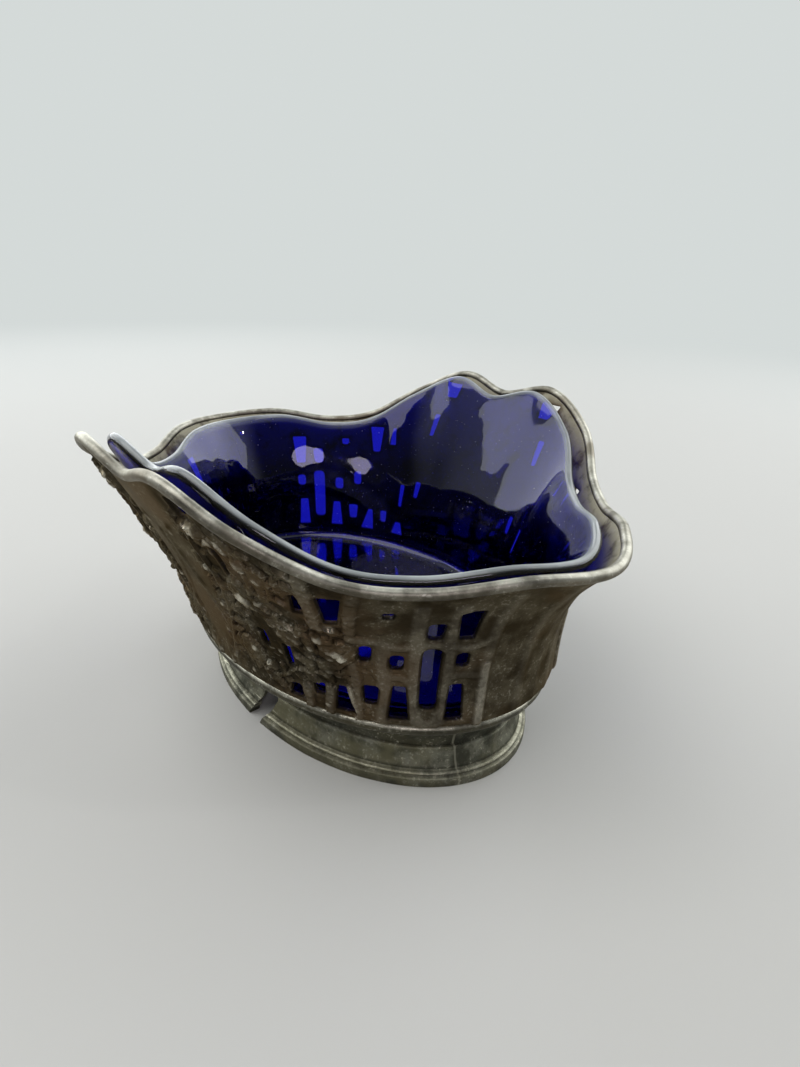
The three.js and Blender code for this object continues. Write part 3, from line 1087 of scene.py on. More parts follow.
class Relief:
    """The height of the wall's outer face over its smooth surface."""

    def __init__(self, skin: Skin) -> None:
        """Place the leaves along the stems of a wall.

        Args:
            skin: The wall's middle surface.
        """
        self.skin = skin
        grown = [leaf for k, stem in enumerate(STEMS) for leaf in self._leaves(stem, k)]
        self.leaves = [*LEAVES, *grown]

    def scales(self, angle: float, share: float) -> tuple[float, float]:
        """Millimetres per degree along the wall, and per unit of share up it.

        Args:
            angle: Degrees from the long axis.
            share: Share of the height.

        Returns:
            Both scales.
        """
        nudge = 0.01
        turn = np.array([math.radians(angle)])
        here, ahead = (self.skin.point(turn, np.array([level])) for level in (share, share + nudge))
        reach = float(np.hypot(here[0, 0], here[0, 1]))
        return math.radians(reach), float(np.linalg.norm(ahead - here)) / nudge

    def _leaves(self, stem: Rib, number: int) -> list[Leaf]:
        """Set leaves in turn on both sides of a stem.

        Args:
            stem: The stem.
            number: Its number, which seeds the small differences.

        Returns:
            The leaves.
        """
        random = np.random.default_rng(LEAF_SEED + number)
        points = np.array(stem.points)
        across, up = self.scales(*points.mean(axis=0))
        flat = points * (across, up)
        length = run_lengths(flat)
        leaves = []
        for k, at in enumerate(np.arange(FIRST_LEAF, length[-1], LEAF_SPACING)):
            (x, x2), (y, y2) = (np.interp((at, at + 1), length, flat[:, j]) for j in range(2))
            side = 1 if k % 2 else -1
            turn = math.atan2(y2 - y, x2 - x) + side * (0.85 + 0.3 * random.random())
            size = LEAF_LENGTH + LEAF_GROWTH * random.random()
            reach = size * 0.62
            angle = (x + reach * math.cos(turn)) / across
            share = (y + reach * math.sin(turn)) / up
            leaves.append(Leaf(angle, share, turn, size, size * 0.48, 0.4 + 0.4 * random.random()))
        return leaves

    def local(self, item: Any, angle: Array, share: Array) -> tuple[Array, Array]:
        """Offsets in millimetres from the middle of an item."""
        across, up = self.scales(item.angle, item.share)
        return (angle - item.angle) * across, (share - item.share) * up

    def rib(self, rib: Rib, angle: Array, share: Array) -> Array:
        """Height of a round-topped bar along a smooth path.

        Args:
            rib: The bar or stem.
            angle: Degrees from the long axis of each point.
            share: Share of the height of each point.

        Returns:
            The height at each point.
        """
        control = np.array(rib.points)
        scale = self.scales(*control.mean(axis=0))
        path = smooth_path(control * scale, 6)
        spots = np.stack([angle, share], -1) * scale
        near = np.full(angle.shape, FAR_AWAY)
        inside = between(spots, path.min(axis=0) - rib.width, path.max(axis=0) + rib.width)
        near[inside] = segment_distance(spots[inside], path[:-1], path[1:])
        across_share = np.clip(near / (rib.width / 2), 0, 1)
        return rib.height * np.clip(1 - across_share**3, 0, 1) ** 0.6

    def blossom(self, flower: Blossom, angle: Array, share: Array) -> Array:
        """Height of a rose: rings of cupped petals that step up to the middle.

        Args:
            flower: The rose.
            angle: Degrees from the long axis of each point.
            share: Share of the height of each point.

        Returns:
            The height at each point.
        """
        x, y = self.local(flower, angle, share)
        radius = np.hypot(x / flower.stretch, y)
        turn = np.arctan2(y, x)
        height = np.zeros_like(x)
        for k, (size, lobes, level) in enumerate(PETAL_RINGS):
            notch = np.abs(np.cos(lobes / 2 * turn + 1.1 * k + flower.angle))
            spread = flower.radius * size * (0.84 + 0.16 * notch)
            out = radius / spread
            cup = level * (0.62 + 0.38 * np.clip(out, 0, 1) ** 2)
            groove = 0.3 * np.exp(-((notch * radius / 0.6) ** 2)) * np.clip(out, 0, 1)
            rim = np.clip((spread - radius) / 0.45, 0, 1) ** 0.5
            height = np.maximum(height, (cup - groove) * rim)
        return flower.height * height

    def bud(self, bud: Bud, angle: Array, share: Array) -> Array:
        """Height of a bud: a small dome.

        Args:
            bud: The bud.
            angle: Degrees from the long axis of each point.
            share: Share of the height of each point.

        Returns:
            The height at each point.
        """
        x, y = self.local(bud, angle, share)
        out = np.hypot(x, y) / bud.radius
        return bud.height * np.clip(1 - out**2, 0, 1) ** 0.7

    def leaf(self, leaf: Leaf, angle: Array, share: Array) -> Array:
        """Height of a leaf: pointed, cupped, with a midrib and side veins.

        Args:
            leaf: The leaf.
            angle: Degrees from the long axis of each point.
            share: Share of the height of each point.

        Returns:
            The height at each point.
        """
        x, y = self.local(leaf, angle, share)
        along = x * math.cos(leaf.turn) + y * math.sin(leaf.turn)
        across = -x * math.sin(leaf.turn) + y * math.cos(leaf.turn)
        place_along = along / leaf.length + 0.5
        inside = (place_along > 0) & (place_along < 1)
        half = leaf.width / 2 * np.sin(math.pi * np.clip(place_along, 0, 1) ** 0.8)
        ratio = np.abs(across) / np.maximum(half, TINY)
        cup = np.sqrt(np.clip(1 - ratio**2, 0, 1))
        vein = 0.3 * np.exp(-((across / 0.28) ** 2))
        side_veins = 0.1 * np.cos(8 * math.pi * (place_along - 0.5 * ratio))
        return np.where(inside, leaf.height * cup * (0.9 - vein + side_veins), 0.0)

    def lumps(self, angle: Array, share: Array) -> Array:
        """Find the small rounded lumps that break up the spray.

        Args:
            angle: Degrees from the long axis, 0 to 90.
            share: Share of the wall's height.

        Returns:
            Height at each point, from 0 to 1.
        """
        across, up = self.scales(*LUMP_PLACE)
        x, y = angle * across / LUMP_SPACING, share * up / LUMP_SPACING
        column, row = np.floor(x).astype(int), np.floor(y).astype(int)
        cells = 64
        table = np.random.default_rng(LUMP_SEED).random((cells, cells, 3))
        height = np.zeros_like(x)
        for right in (-1, 0, 1):
            for over in (-1, 0, 1):
                shift_x, shift_y, size = table[(column + right) % cells, (row + over) % cells].T
                away = np.hypot(x - column - right - shift_x, y - row - over - shift_y)
                dome = np.clip(1 - (away / (0.46 + 0.30 * size)) ** 2, 0, 1)
                height = np.maximum(height, dome * (0.55 + 0.45 * size))
        return height

    def build(self, angle: Array, share: Array, from_hole: Array) -> tuple[Array, Array]:
        """Find the whole relief.

        Args:
            angle: Degrees from the long axis, 0 to 90.
            share: Share of the wall's height.
            from_hole: Millimetres from the nearest opening.

        Returns:
            Height in millimetres over the smooth surface, and how pale each point is painted, from 0 to
            1, for wear and for highlights.
        """

        def highest(shape: Callable[..., Array], items: Iterable[Any]) -> Array:
            """Join the heights of several items, the highest on top."""
            return reduce(np.maximum, (shape(item, angle, share) for item in items))

        bars = highest(self.rib, LATTICE)
        kinds = ((self.rib, STEMS), (self.leaf, self.leaves), (self.bud, BUDS), (self.blossom, BLOSSOMS))
        spray = reduce(np.maximum, (highest(*kind) for kind in kinds))
        proud = highest(self.bud, WORN_AND_LIT_SPOTS)
        raised = np.maximum(bars, SPRAY_HEIGHT * spray)
        sunk = smooth_step(angle, *SPRAY_START) * (1 - smooth_step(angle, *SPRAY_END))
        ground = -GROUND_DEPTH * sunk * smooth_step(0.2 - raised, 0.0, 0.2)
        fade = sunk * (1 - 0.7 * smooth_step(angle, *SPRAY_THINS))
        lumps = self.lumps(angle, share) * fade * smooth_step(raised, -0.3, 0.4)
        # Lump tops, proud spots and bar crests go pale: wear, and painted glints and highlights.
        lit_tops = smooth_step(lumps, 0.6, 0.97) * smooth_step(spray, 0.1, 0.7)
        crests = 0.14 * smooth_step(bars, 0.08, 0.5) + 0.38 * smooth_step(bars, 0.5, 0.8)
        worn_and_lit = np.maximum(0.5 * lit_tops, smooth_step(proud, 0.04, 0.36))
        rubbed_and_lit = np.maximum(worn_and_lit, crests) * smooth_step(from_hole, 0.2, 1.0)
        cast = raised + LUMP_HEIGHT * lumps + proud + ground
        lip = 0.1 * np.exp(-(((from_hole - 0.8) / 0.45) ** 2))
        edge = -0.4 * np.exp(-from_hole / 0.2)
        return cast * smooth_step(from_hole, 0.05, 0.8) + lip + edge, rubbed_and_lit


def smooth_path(points: Array, parts: int) -> Array:
    """Run a smooth open path through points.

    Args:
        points: The points.
        parts: Pieces between two points.

    Returns:
        Points of the path.
    """
    padded = np.vstack([2 * points[0] - points[1], points, 2 * points[-1] - points[-2]])
    t = (np.arange(parts) / parts)[:, None]
    runs = [spline(*padded[k : k + 4], t) for k in range(len(points) - 1)]
    return np.vstack([*runs, points[-1:]])


def between(spots: Array, low: Array, high: Array) -> Array:
    """Tell which spots lie inside a box."""
    return np.all((spots > low) & (spots < high), axis=-1)


def segment_distance(spots: Array, starts: Array, ends: Array) -> Array:
    """Distance from each spot to the nearest of some segments.

    Args:
        spots: Rows of x and y.
        starts: Start of each segment.
        ends: End of each segment.

    Returns:
        The distances.
    """
    best = np.full(len(spots), FAR_AWAY)
    for a, b in zip(starts, ends):
        run = b - a
        t = np.clip(((spots - a) @ run) / max(float(run @ run), TINY**2), 0, 1)
        best = np.minimum(best, np.linalg.norm(spots - (a + t[:, None] * run), axis=1))
    return best


def inside_loop(spots: Array, loop: Array) -> Array:
    """Tell which spots lie inside a closed loop.

    Args:
        spots: Rows of x and y.
        loop: Points of the loop.

    Returns:
        One truth value for each spot.
    """
    found = np.zeros(len(spots), bool)
    x, y = spots[:, 0], spots[:, 1]
    for a, b in zip(loop, np.roll(loop, -1, axis=0)):
        crosses = (a[1] > y) != (b[1] > y)
        rise = b[1] - a[1] if b[1] != a[1] else TINY
        found ^= crosses & (x < (b[0] - a[0]) * (y - a[1]) / rise + a[0])
    return found


@dataclass(frozen=True)
class OpenworkWall:
    """One half of the pierced wall, with its bars and rose spray in relief.

    Its edge reaches into the rim wire by the overlap. The points of its outer face are fine apart,
    or plain apart on the plain panels, and those of its inner face coarse apart.
    """

    side: Side
    node: str
    skin: Skin
    thickness: float
    rim_wire: float
    seam: float
    overlap: float = 0.5
    fine: float = 0.42
    plain: float = 1.0
    coarse: float = 2.0
    border: float = 0.8
    relief_top: float = 0.99
    relief_fade: float = 0.03
    rings: tuple[float, ...] = (0.16, 0.4, 0.72, 1.1)
    flat_reach: float = 66.0
    flat_rise: float = 56.0

    def top_share(self, angle: Array) -> Array:
        """Share of the height where the wall meets the rim wire.

        Args:
            angle: Polar angles.

        Returns:
            The shares, a little under 1.
        """
        nudge = 0.001
        top = np.ones_like(angle)
        rise = np.linalg.norm(self.skin.point(angle, top) - self.skin.point(angle, top - nudge), axis=-1)
        return 1 - (self.rim_wire / 2 - self.overlap) * nudge / rise

    def flat(self, angle: Array, share: Array) -> Array:
        """Lay points of the wall out flat, in about millimetres."""
        level = share / self.top_share(angle)
        return np.stack([angle * self.flat_reach, level * self.flat_rise], -1)

    def curved(self, flat: Array) -> tuple[Array, Array]:
        """Find polar angles and shares of points laid out flat."""
        angle = flat[:, 0] / self.flat_reach
        return angle, flat[:, 1] / self.flat_rise * self.top_share(angle)

    def hole_loops(self) -> list[Array]:
        """Trace the openings of this half.

        Returns:
            A loop for each opening, laid out flat and anticlockwise.
        """
        loops = []
        start = self.side.value
        for opening in OPENINGS:
            middle = math.radians(opening.angle)
            rise = float(self.skin.climb_total(np.array(middle)))
            outline = opening.outline((opening.end - opening.start) * rise)
            share = opening.start + outline[:, 1] / rise
            reach = self.skin.reach(np.full(len(share), middle), share)
            folded = middle + outline[:, 0] / reach
            share = (opening.start * rise + outline[:, 1]) / self.skin.climb_total(folded)
            loops.append(self.flat(start + folded, share))
            loops.append(self.flat(start + math.pi - folded, share)[::-1])
        return loops

    def outer_loop(self) -> Array:
        """Trace the edge of the half wall, which leaves a hairline to the other half.

        Returns:
            The loop, laid out flat and anticlockwise.
        """
        hairline = self.seam / 3
        x0 = self.side.value * self.flat_reach + hairline / 2
        x1 = (self.side.value + math.pi) * self.flat_reach - hairline / 2
        top = self.flat_rise
        corners = np.array([(x0, 0.0), (x1, 0.0), (x1, top), (x0, top)])
        edges = []
        for here, there in zip(corners, np.roll(corners, -1, axis=0)):
            count = int(np.abs(there - here).sum() / self.border) - 1
            edges.append(here + (there - here) * (np.arange(count) / count)[:, None])
        return np.vstack(edges)

    def triangles(self, loops: list[Array], inner: Array) -> tuple[Array, Array, Array]:
        """Triangulate the flat wall between its outer edge and its openings.

        Args:
            loops: The outer loop and then the openings.
            inner: Free points inside.

        Returns:
            Flat points, triangles, and which point each point of the loops became.
        """
        points = [Vector(p) for p in np.vstack([*loops, inner]).tolist()]
        edges = []
        start = 0
        for loop in loops:
            count = len(loop)
            edges += [(start + k, start + (k + 1) % count) for k in range(count)]
            start += count
        made, _, faces, origin, _, _ = delaunay_2d_cdt(points, edges, [], 0, TINY)
        flat = np.array([tuple(v) for v in made])
        order = {old: new for new, olds in enumerate(origin) for old in olds}
        corners = np.array([f for f in faces if len(f) == 3])
        middle = flat[corners].mean(axis=1)
        keep = inside_loop(middle, loops[0])
        for loop in loops[1:]:
            near = between(middle, loop.min(axis=0), loop.max(axis=0))
            keep[near] &= ~inside_loop(middle[near], loop)
        return flat, corners[keep], np.array([order[k] for k in range(start)])

    def folded(self, angle: Array) -> Array:
        """Degrees from the nearest end of the long axis."""
        return np.degrees(np.abs(np.mod(angle + math.pi / 2, math.pi) - math.pi / 2))

    def hex_grid(self, low: Array, high: Array, spacing: float) -> Array:
        """Spread points in staggered rows over a box.

        Args:
            low: Its lower left corner.
            high: Its upper right corner.
            spacing: Distance between the points.

        Returns:
            The points.
        """
        grid = []
        for k, y in enumerate(np.arange(low[1], high[1], spacing * HEX_ROW)):
            x = np.arange(low[0] + (k % 2) * spacing / 2, high[0], spacing)
            grid.append(np.stack([x, np.full(len(x), y)], -1))
        return np.vstack(grid)

    def free_points(self, loops: list[Array], spacing: float, rings: Sequence[float]) -> Array:
        """Spread free points over the flat wall, with rings round the openings.

        Args:
            loops: The outer loop and then the openings.
            spacing: Distance between the spread points.
            rings: Distances of the rings from an opening.

        Returns:
            The points, wider apart on the plain panels.
        """
        outer, holes = loops[0], loops[1:]
        low, high = outer.min(axis=0) + spacing * 0.55, outer.max(axis=0) - spacing * 0.55
        spots = self.hex_grid(low, high, spacing)
        if spacing < self.plain:
            wide = self.hex_grid(low, high, self.plain)
            spots = np.vstack([spots[self._ornate(spots)], wide[~self._ornate(wide)]])
        margin = (rings[-1] if rings else 0.0) + spacing * 0.5
        extra = [spots[self.hole_distance(spots, holes, margin + 1.0) > margin]]
        for loop in holes:
            run = np.roll(loop, -1, axis=0) - np.roll(loop, 1, axis=0)
            outward = unit(np.stack([run[:, 1], -run[:, 0]], -1))
            for distance in rings:
                ring = loop + outward * distance
                clear = self.hole_distance(ring, holes, HOLE_REACH) > distance * 0.93
                extra.append(ring[clear & between(ring, low, high)])
        return np.vstack(extra)

    def _ornate(self, spots: Array) -> Array:
        """Tell where the flat wall carries fine ornament."""
        folded = self.folded(spots[:, 0] / self.flat_reach)
        return (folded > ORNATE[0]) & (folded < ORNATE[1])

    def hole_distance(self, spots: Array, holes: list[Array], limit: float) -> Array:
        """Distance to the nearest opening, negative inside one.

        Args:
            spots: Flat points.
            holes: The openings' loops.
            limit: Distance past which no exact value is needed.

        Returns:
            The distances, at most limit.
        """
        best = np.full(len(spots), limit)
        for loop in holes:
            near = between(spots, loop.min(axis=0) - limit, loop.max(axis=0) + limit)
            if not near.any():
                continue
            distance = segment_distance(spots[near], loop, np.roll(loop, -1, axis=0))
            distance = np.where(inside_loop(spots[near], loop), -distance, distance)
            best[near] = np.minimum(best[near], distance)
        return best

    def build(self, metal: bpy.types.Material) -> None:
        """Build the half wall and put it in place.

        Args:
            metal: Its finish.
        """
        loops = [self.outer_loop(), *self.hole_loops()]
        spots = self.free_points(loops, self.fine, self.rings)
        fine, outer_faces, outer_edge = self.triangles(loops, spots)
        spots = self.free_points(loops, self.coarse, ())
        coarse, inner_faces, inner_edge = self.triangles(loops, spots)
        angle, share = self.curved(fine)
        from_hole = np.clip(self.hole_distance(fine, loops[1:], HOLE_REACH), 0, None)
        relief, rubbed_and_lit = Relief(self.skin).build(self.folded(angle), share, from_hole)
        fade = self.relief_fade
        relief = relief * smooth_step(share, 0.0, fade) * smooth_step(self.relief_top - share, 0.0, fade)
        here, out = self.skin.frame(angle, share)
        front = here + out * (self.thickness / 2 + relief)[:, None]
        angle, share = self.curved(coarse)
        here, out = self.skin.frame(angle, share)
        back = here - out * (self.thickness / 2)
        count = len(front)
        faces = [*outer_faces.tolist(), *(inner_faces[:, [0, 2, 1]] + count).tolist()]
        faces += self.cut_edges([len(loop) for loop in loops], outer_edge, inner_edge + count)
        obj = mesh_object(self.node.replace("_wall", "_openwork"), np.vstack([front, back]), faces, metal)
        from_hole = self.hole_distance(coarse, loops[1:], HOLE_REACH)
        # Inner face marked paler towards the rim, for painted light falling in from above.
        inside = smooth_step(share, 0.45, 0.85) * smooth_step(from_hole, 0.2, 1.5)
        none = np.zeros(len(share))
        write_values(obj.data, "relief", np.concatenate([relief, none]))
        write_values(obj.data, "rubbed_and_lit", np.concatenate([rubbed_and_lit, none]))
        write_values(obj.data, "inside", np.concatenate([np.zeros(count), inside]))
        finish_shading(obj.data)
        place(obj, Body.BASKET, Slot.WALL, self.node)

    def cut_edges(self, counts: list[int], front: Array, back: Array) -> list[list[int]]:
        """Join the edges of the outer and inner faces.

        Args:
            counts: Points in each loop.
            front: Vertex of each loop point on the outer face.
            back: Vertex of each loop point on the inner face.

        Returns:
            The faces of the cut edges, pointing out of the metal.
        """
        faces = []
        start = 0
        for k, count in enumerate(counts):
            for j in range(count):
                a, b = start + j, start + (j + 1) % count
                quad = [front[a], back[a], back[b], front[b]]
                faces.append(quad if k == 0 else quad[::-1])
            start += count
        return faces


# Foot


@dataclass(frozen=True)
class Foot:
    """The hollow foot: a band, two steps, a steep apron, a cove and an inner flange."""

    base_length: float
    base_width: float
    height: float
    wire: float
    length: float = 120.0
    width: float = 79.5
    band: float = 3.0
    step: float = 1.0
    apron_height: float = 10.2
    lean: float = 1.2
    sheet: float = 1.4
    flange: float = 11.0
    dent: float = 0.12
    dent_waves: float = 4.0
    around: int = 360
    break_angle: float = 268.3
    break_width: float = 6.0
    break_height: float = 15.0
    break_lean: float = 4.7
    break_start: float = 14.0
    break_depth: float = 30.0

    def section(self) -> Array:
        """Trace the foot's section.

        Returns:
            Rows of how far it follows the body's oval instead of the foot's own,
            its inset from that oval and its height, up the outside and down the inside.
        """
        band, step = self.band, self.step
        apron = 2 * step
        edge = apron + self.lean
        cove = edge + step
        top_of_step = band + 1.6 * step
        cove_foot = self.apron_height + step
        under = self.height - self.sheet
        rows = [
            (0, 0.35, 0.0),
            (0, 0.1, 0.12),
            (0, 0.0, 0.4),
            (0, 0.0, band - 0.5),
            (0, 0.15, band - 0.12),
            (0, 0.5, band),
            (0, step - 0.1, band + 0.05),
            (0, step, band + 0.25),
            (0, step - 0.15, band + 0.55),
            (0, step, band + 0.85),
            (0, step + 0.3, band + step),
            (0, apron - 0.1, top_of_step - 0.5),
            (0, apron, top_of_step - 0.25),
        ]
        for t in np.linspace(0, 1, 9):
            bow = 0.35 * math.sin(math.pi * t)
            height = top_of_step + (self.apron_height - top_of_step) * t
            rows.append((0, apron + (edge - apron) * t + bow, height))
        rows += [
            (0, edge + 0.15, self.apron_height + 0.25),
            (0, edge + 0.5, self.apron_height + 0.4),
            (0, cove - 0.1, cove_foot - 0.45),
        ]
        for t in np.linspace(0, 1, 9):
            height = cove_foot + (self.height - cove_foot) * math.sin(t * math.pi / 2) ** 0.9
            rows.append((t**2, cove * (1 - t) + self.wire / 2 * t, height))
        rows += [
            (1, self.flange, self.height),
            (1, self.flange, under),
            (0, cove + self.sheet, under),
            (0, cove + self.sheet, cove_foot),
            (0, edge + self.sheet, self.apron_height),
            (0, apron + self.sheet, top_of_step),
            (0, apron + self.sheet, 0.3),
            (0, apron + self.sheet - 0.3, 0.0),
        ]
        return np.array(rows)

    def ring(self) -> tuple[Array, list[list[int]]]:
        """Sweep the section round the foot.

        Returns:
            Points in millimetres and faces.
        """
        follow, inset, height = self.section().T
        points = []
        for angle in np.linspace(0, FULL_TURN, self.around, endpoint=False):
            own = oval_reach(self.length - 2 * inset, self.width - 2 * inset, angle)
            body = oval_reach(self.base_length - 2 * inset, self.base_width - 2 * inset, angle)
            spot = (math.cos(angle) * self.dent_waves, math.sin(angle) * self.dent_waves, 0.5)
            dent = self.dent * noise.noise(spot)
            reach = own + (body - own) * follow + dent * (1 - follow)
            points.append(round_points(reach, angle, height))
        return np.vstack(points), ring_faces(self.around, len(height))

    def broken_piece(self) -> bpy.types.Object:
        """Make the ragged block whose shape is missing from the foot.

        Returns:
            The block, to be taken away once it has cut the foot.
        """
        half, lean, low = self.break_width / 2, self.break_lean, -self.band
        top = self.break_height
        right = [(half, low), (half - 0.3, 0.2), (half + 0.5, 1.6), (half + 1.3, 3.1), (half + 2.8, 5.2)]
        right += [(half + 3.6, 7.4), (half + lean, 9.4), (half + lean - 0.3, 12.6), (lean + 2.0, top)]
        left = [(lean - 0.4, top - 0.3), (lean - 1.0, 12.7), (lean - half, 9.6), (3.9 - half, 7.2)]
        left += [(2.1 - half, 4.6), (1.4 - half, 2.4), (0.2 - half, 0.9), (-half, low)]
        outline = np.array([*right, *left])
        angle = math.radians(self.break_angle)
        tangent = np.array([-math.sin(angle), math.cos(angle), 0])
        radial = np.array([math.cos(angle), math.sin(angle), 0])
        inset = 2 * self.break_start
        near = oval_reach(self.length - inset, self.width - inset, angle)
        flat = outline[:, :1] * tangent + outline[:, 1:] * np.array([0, 0, 1])
        points = np.vstack([flat + radial * near, flat + radial * (near + self.break_depth)])
        count = len(outline)
        faces = [list(range(count))[::-1], list(range(count, 2 * count))]
        faces += [[k, (k + 1) % count, count + (k + 1) % count, count + k] for k in range(count)]
        return mesh_object("broken_piece", points, faces)

    def build(self, metal: bpy.types.Material) -> None:
        """Build the foot, break it and put it in place.

        Args:
            metal: Its finish.
        """
        obj = mesh_object("foot", *self.ring(), metal)
        block = self.broken_piece()
        cut = obj.modifiers.new("Break", "BOOLEAN")
        cut.operation = "DIFFERENCE"
        cut.solver = "EXACT"
        cut.object = block
        settle(obj)
        bpy.data.objects.remove(block)
        self._mark_steps(obj.data)
        finish_shading(obj.data)
        place(obj, Body.BASKET, Slot.FOOT, "foot_ring")

    def _mark_steps(self, mesh: bpy.types.Mesh) -> None:
        """Write by height how pale the mouldings' edges are, for wear and a painted highlight line, and
        how deep their corners lie, for painted shade there, in the cove and along the band.

        Args:
            mesh: The foot's mesh.
        """
        band, apron, step = self.band, self.apron_height, self.step
        corner = band + 1.6 * step
        # Height, pale edge for wear and painted highlight, and depth that the finish paints as shade.
        rows = [
            (0.0, 0.3, -0.14),
            (0.5, 0.0, -0.22),
            (band - 0.6, 0.0, -0.2),
            (band - 0.1, 0.5, 0.0),
            (band + 0.2, 0.0, -0.3),
            (band + 0.5, 0.1, -0.1),
            (band + 0.95, 0.6, 0.0),
            (corner, 0.0, -0.32),
            (corner + 0.8, 0.0, -0.03),
            (apron - 0.6, 0.0, 0.0),
            (apron + 0.3, 0.1, -0.06),
            (apron + step - 0.45, 0.0, -0.26),
            (apron + step + 1.5, 0.0, -0.26),
            (self.height, 0.0, -0.36),
        ]
        at, rubbed_and_lit, relief = np.array(rows).T
        height = read_vectors(mesh, "co")[:, 2] / MM
        write_values(mesh, "rubbed_and_lit", np.interp(height, at, rubbed_and_lit))
        write_values(mesh, "relief", np.interp(height, at, relief))


# Glass liner


def liner_tree() -> Tree:
    """Build the tree that lofts a bowl from a flat oval floor up to the rim loop it is given.

    Returns:
        The tree. Its inputs are the floor's oval and height, the heel, the flares, the rows and
        columns, the floor's share of the rows, the waviness of the glass and Finish.
    """
    lengths = {"Base Length": 0.12, "Base Width": 0.08, "Floor": 0.02, "Heel": 0.004, "Waviness": 0.0001}
    shape = {"Flare At Ends": 3.2, "Flare At Sides": 1.5, "Floor Share": 0.2, "Columns": 360, "Rows": 70}
    tree = Tree("Bowl up to a rim", {**lengths, **shape})
    columns, floor, heel = (tree.given(name) for name in ("Columns", "Floor", "Heel"))
    values = {"Size X": 1.0, "Size Y": 1.0, "Vertices X": columns + 1.0, "Vertices Y": tree.given("Rows")}
    grid = tree.sock("GeometryNodeMeshGrid", values)
    turn, level = (part + 0.5 for part in tree.split(tree.sock("GeometryNodeInputPosition"))[:2])
    values = {
        "Geometry": tree.given("Geometry"),
        "Value": tree.sock("GeometryNodeInputPosition"),
        "Index": (turn * columns).maths("ROUND").maths("MODULO", columns),
    }
    rim_x, rim_y, rim_z = tree.split(
        tree.sock("GeometryNodeSampleIndex", values, data_type="FLOAT_VECTOR")
    )
    angle = turn * FULL_TURN
    cosine, sine = angle.maths("COSINE"), angle.maths("SINE")
    rim_reach = (rim_x * rim_x + rim_y * rim_y).maths("SQRT")
    along = cosine * 2.0 / tree.given("Base Length")
    across = sine * 2.0 / tree.given("Base Width")
    start = 1.0 / (along * along + across * across).maths("SQRT")
    ends, sides = tree.given("Flare At Ends"), tree.given("Flare At Sides")
    flare = sides + (ends - sides) * (angle * 2.0).maths("COSINE").step(*END_ZONE)
    floor_share = tree.given("Floor Share")
    on_floor = (level / floor_share).clamped()
    share = ((level - floor_share) / (1.0 - floor_share)).clamped() ** 1.8
    climb = share * (rim_z - floor)
    short = (1.0 - climb / heel).clamped()
    tuck = heel * (1.0 - (1.0 - short * short).maths("SQRT"))
    reach = (start + (rim_reach - start) * share**flare - tuck) * on_floor
    spot = tree.sock("ShaderNodeCombineXYZ", {"X": reach * cosine, "Y": reach * sine, "Z": floor + climb})
    lofted = tree.sock("GeometryNodeSetPosition", {"Geometry": grid, "Position": spot})
    merged = tree.sock("GeometryNodeMergeByDistance", {"Geometry": lofted, "Distance": TINY})
    tree.close(merged, 55.0, 1.0, tree.given("Waviness"))
    return tree


@dataclass(frozen=True)
class Liner:
    """The loose glass bowl inside the basket."""

    skin: Skin
    thickness: float
    columns: int = 360
    rows: int = 72
    waviness: float = 0.35
    lip_round: float = 0.46
    lip_segments: int = 5
    lip_angle: float = 60.0
    # Depth under the lip of its satin finish and painted highlight.
    satin_and_sheen_width: float = 1.6

    def build(self, glass: bpy.types.Material) -> None:
        """Build the glass and put it in place.

        Args:
            glass: Its finish.
        """
        skin = self.skin
        angle = np.linspace(0, FULL_TURN, self.columns, endpoint=False)
        obj = path_object("glass_bowl", skin.point(angle, np.ones_like(angle)))
        values = {
            "Base Length": skin.length * MM,
            "Base Width": skin.width * MM,
            "Floor": skin.floor * MM,
            "Heel": skin.heel * MM,
            "Flare At Ends": skin.flare_at_ends,
            "Flare At Sides": skin.flare_at_sides,
            "Columns": self.columns,
            "Rows": self.rows,
            "Waviness": self.waviness * MM,
            "Finish": glass,
        }
        liner_tree().apply(obj, values)
        shell = obj.modifiers.new("Glass", "SOLIDIFY")
        shell.thickness = self.thickness * MM
        shell.offset = 0.0
        shell.use_even_offset = True
        lip = obj.modifiers.new("Polished rim", "BEVEL")
        lip.width = self.thickness * self.lip_round * MM
        lip.segments = self.lip_segments
        lip.limit_method = "ANGLE"
        lip.angle_limit = math.radians(self.lip_angle)
        settle(obj)
        outward_normals(obj.data)
        obj.data.shade_smooth()
        self._mark_lip(obj.data)
        place(obj, Body.LINER, Slot.GLASS, "glass_liner")

    def _mark_lip(self, mesh: bpy.types.Mesh) -> None:
        """Write how near each point is to the lip and how far it faces up and in, for the satin finish
        and painted highlight there.

        Args:
            mesh: The glass's mesh.
        """
        x, y, z = read_vectors(mesh, "co").T / MM
        normal_x, normal_y, normal_z = read_vectors(mesh, "normal").T
        angle = np.arctan2(y, x)
        top = self.skin.rim.at(angle)[1] + self.skin.rise + self.thickness * 0.15
        out = normal_x * np.cos(angle) + normal_y * np.sin(angle)
        # The painted highlight keeps to the side of the lip that faces up and in.
        facing_up = smooth_step(normal_z - 0.6 * out, -0.1, 0.6)
        write_values(mesh, "lip", smooth_step(z - top, -self.satin_and_sheen_width, 0.0) * facing_up)


def outward_normals(mesh: bpy.types.Mesh) -> None:
    """Turn the faces of a closed mesh to point out.

    Args:
        mesh: The mesh, which is changed.
    """
    work = bmesh.new()
    work.from_mesh(mesh)
    bmesh.ops.remove_doubles(work, verts=work.verts, dist=TINY)
    bmesh.ops.recalc_face_normals(work, faces=work.faces)
    if work.calc_volume(signed=True) < 0:
        bmesh.ops.reverse_faces(work, faces=work.faces)
    work.to_mesh(mesh)
    work.free()


# Stage


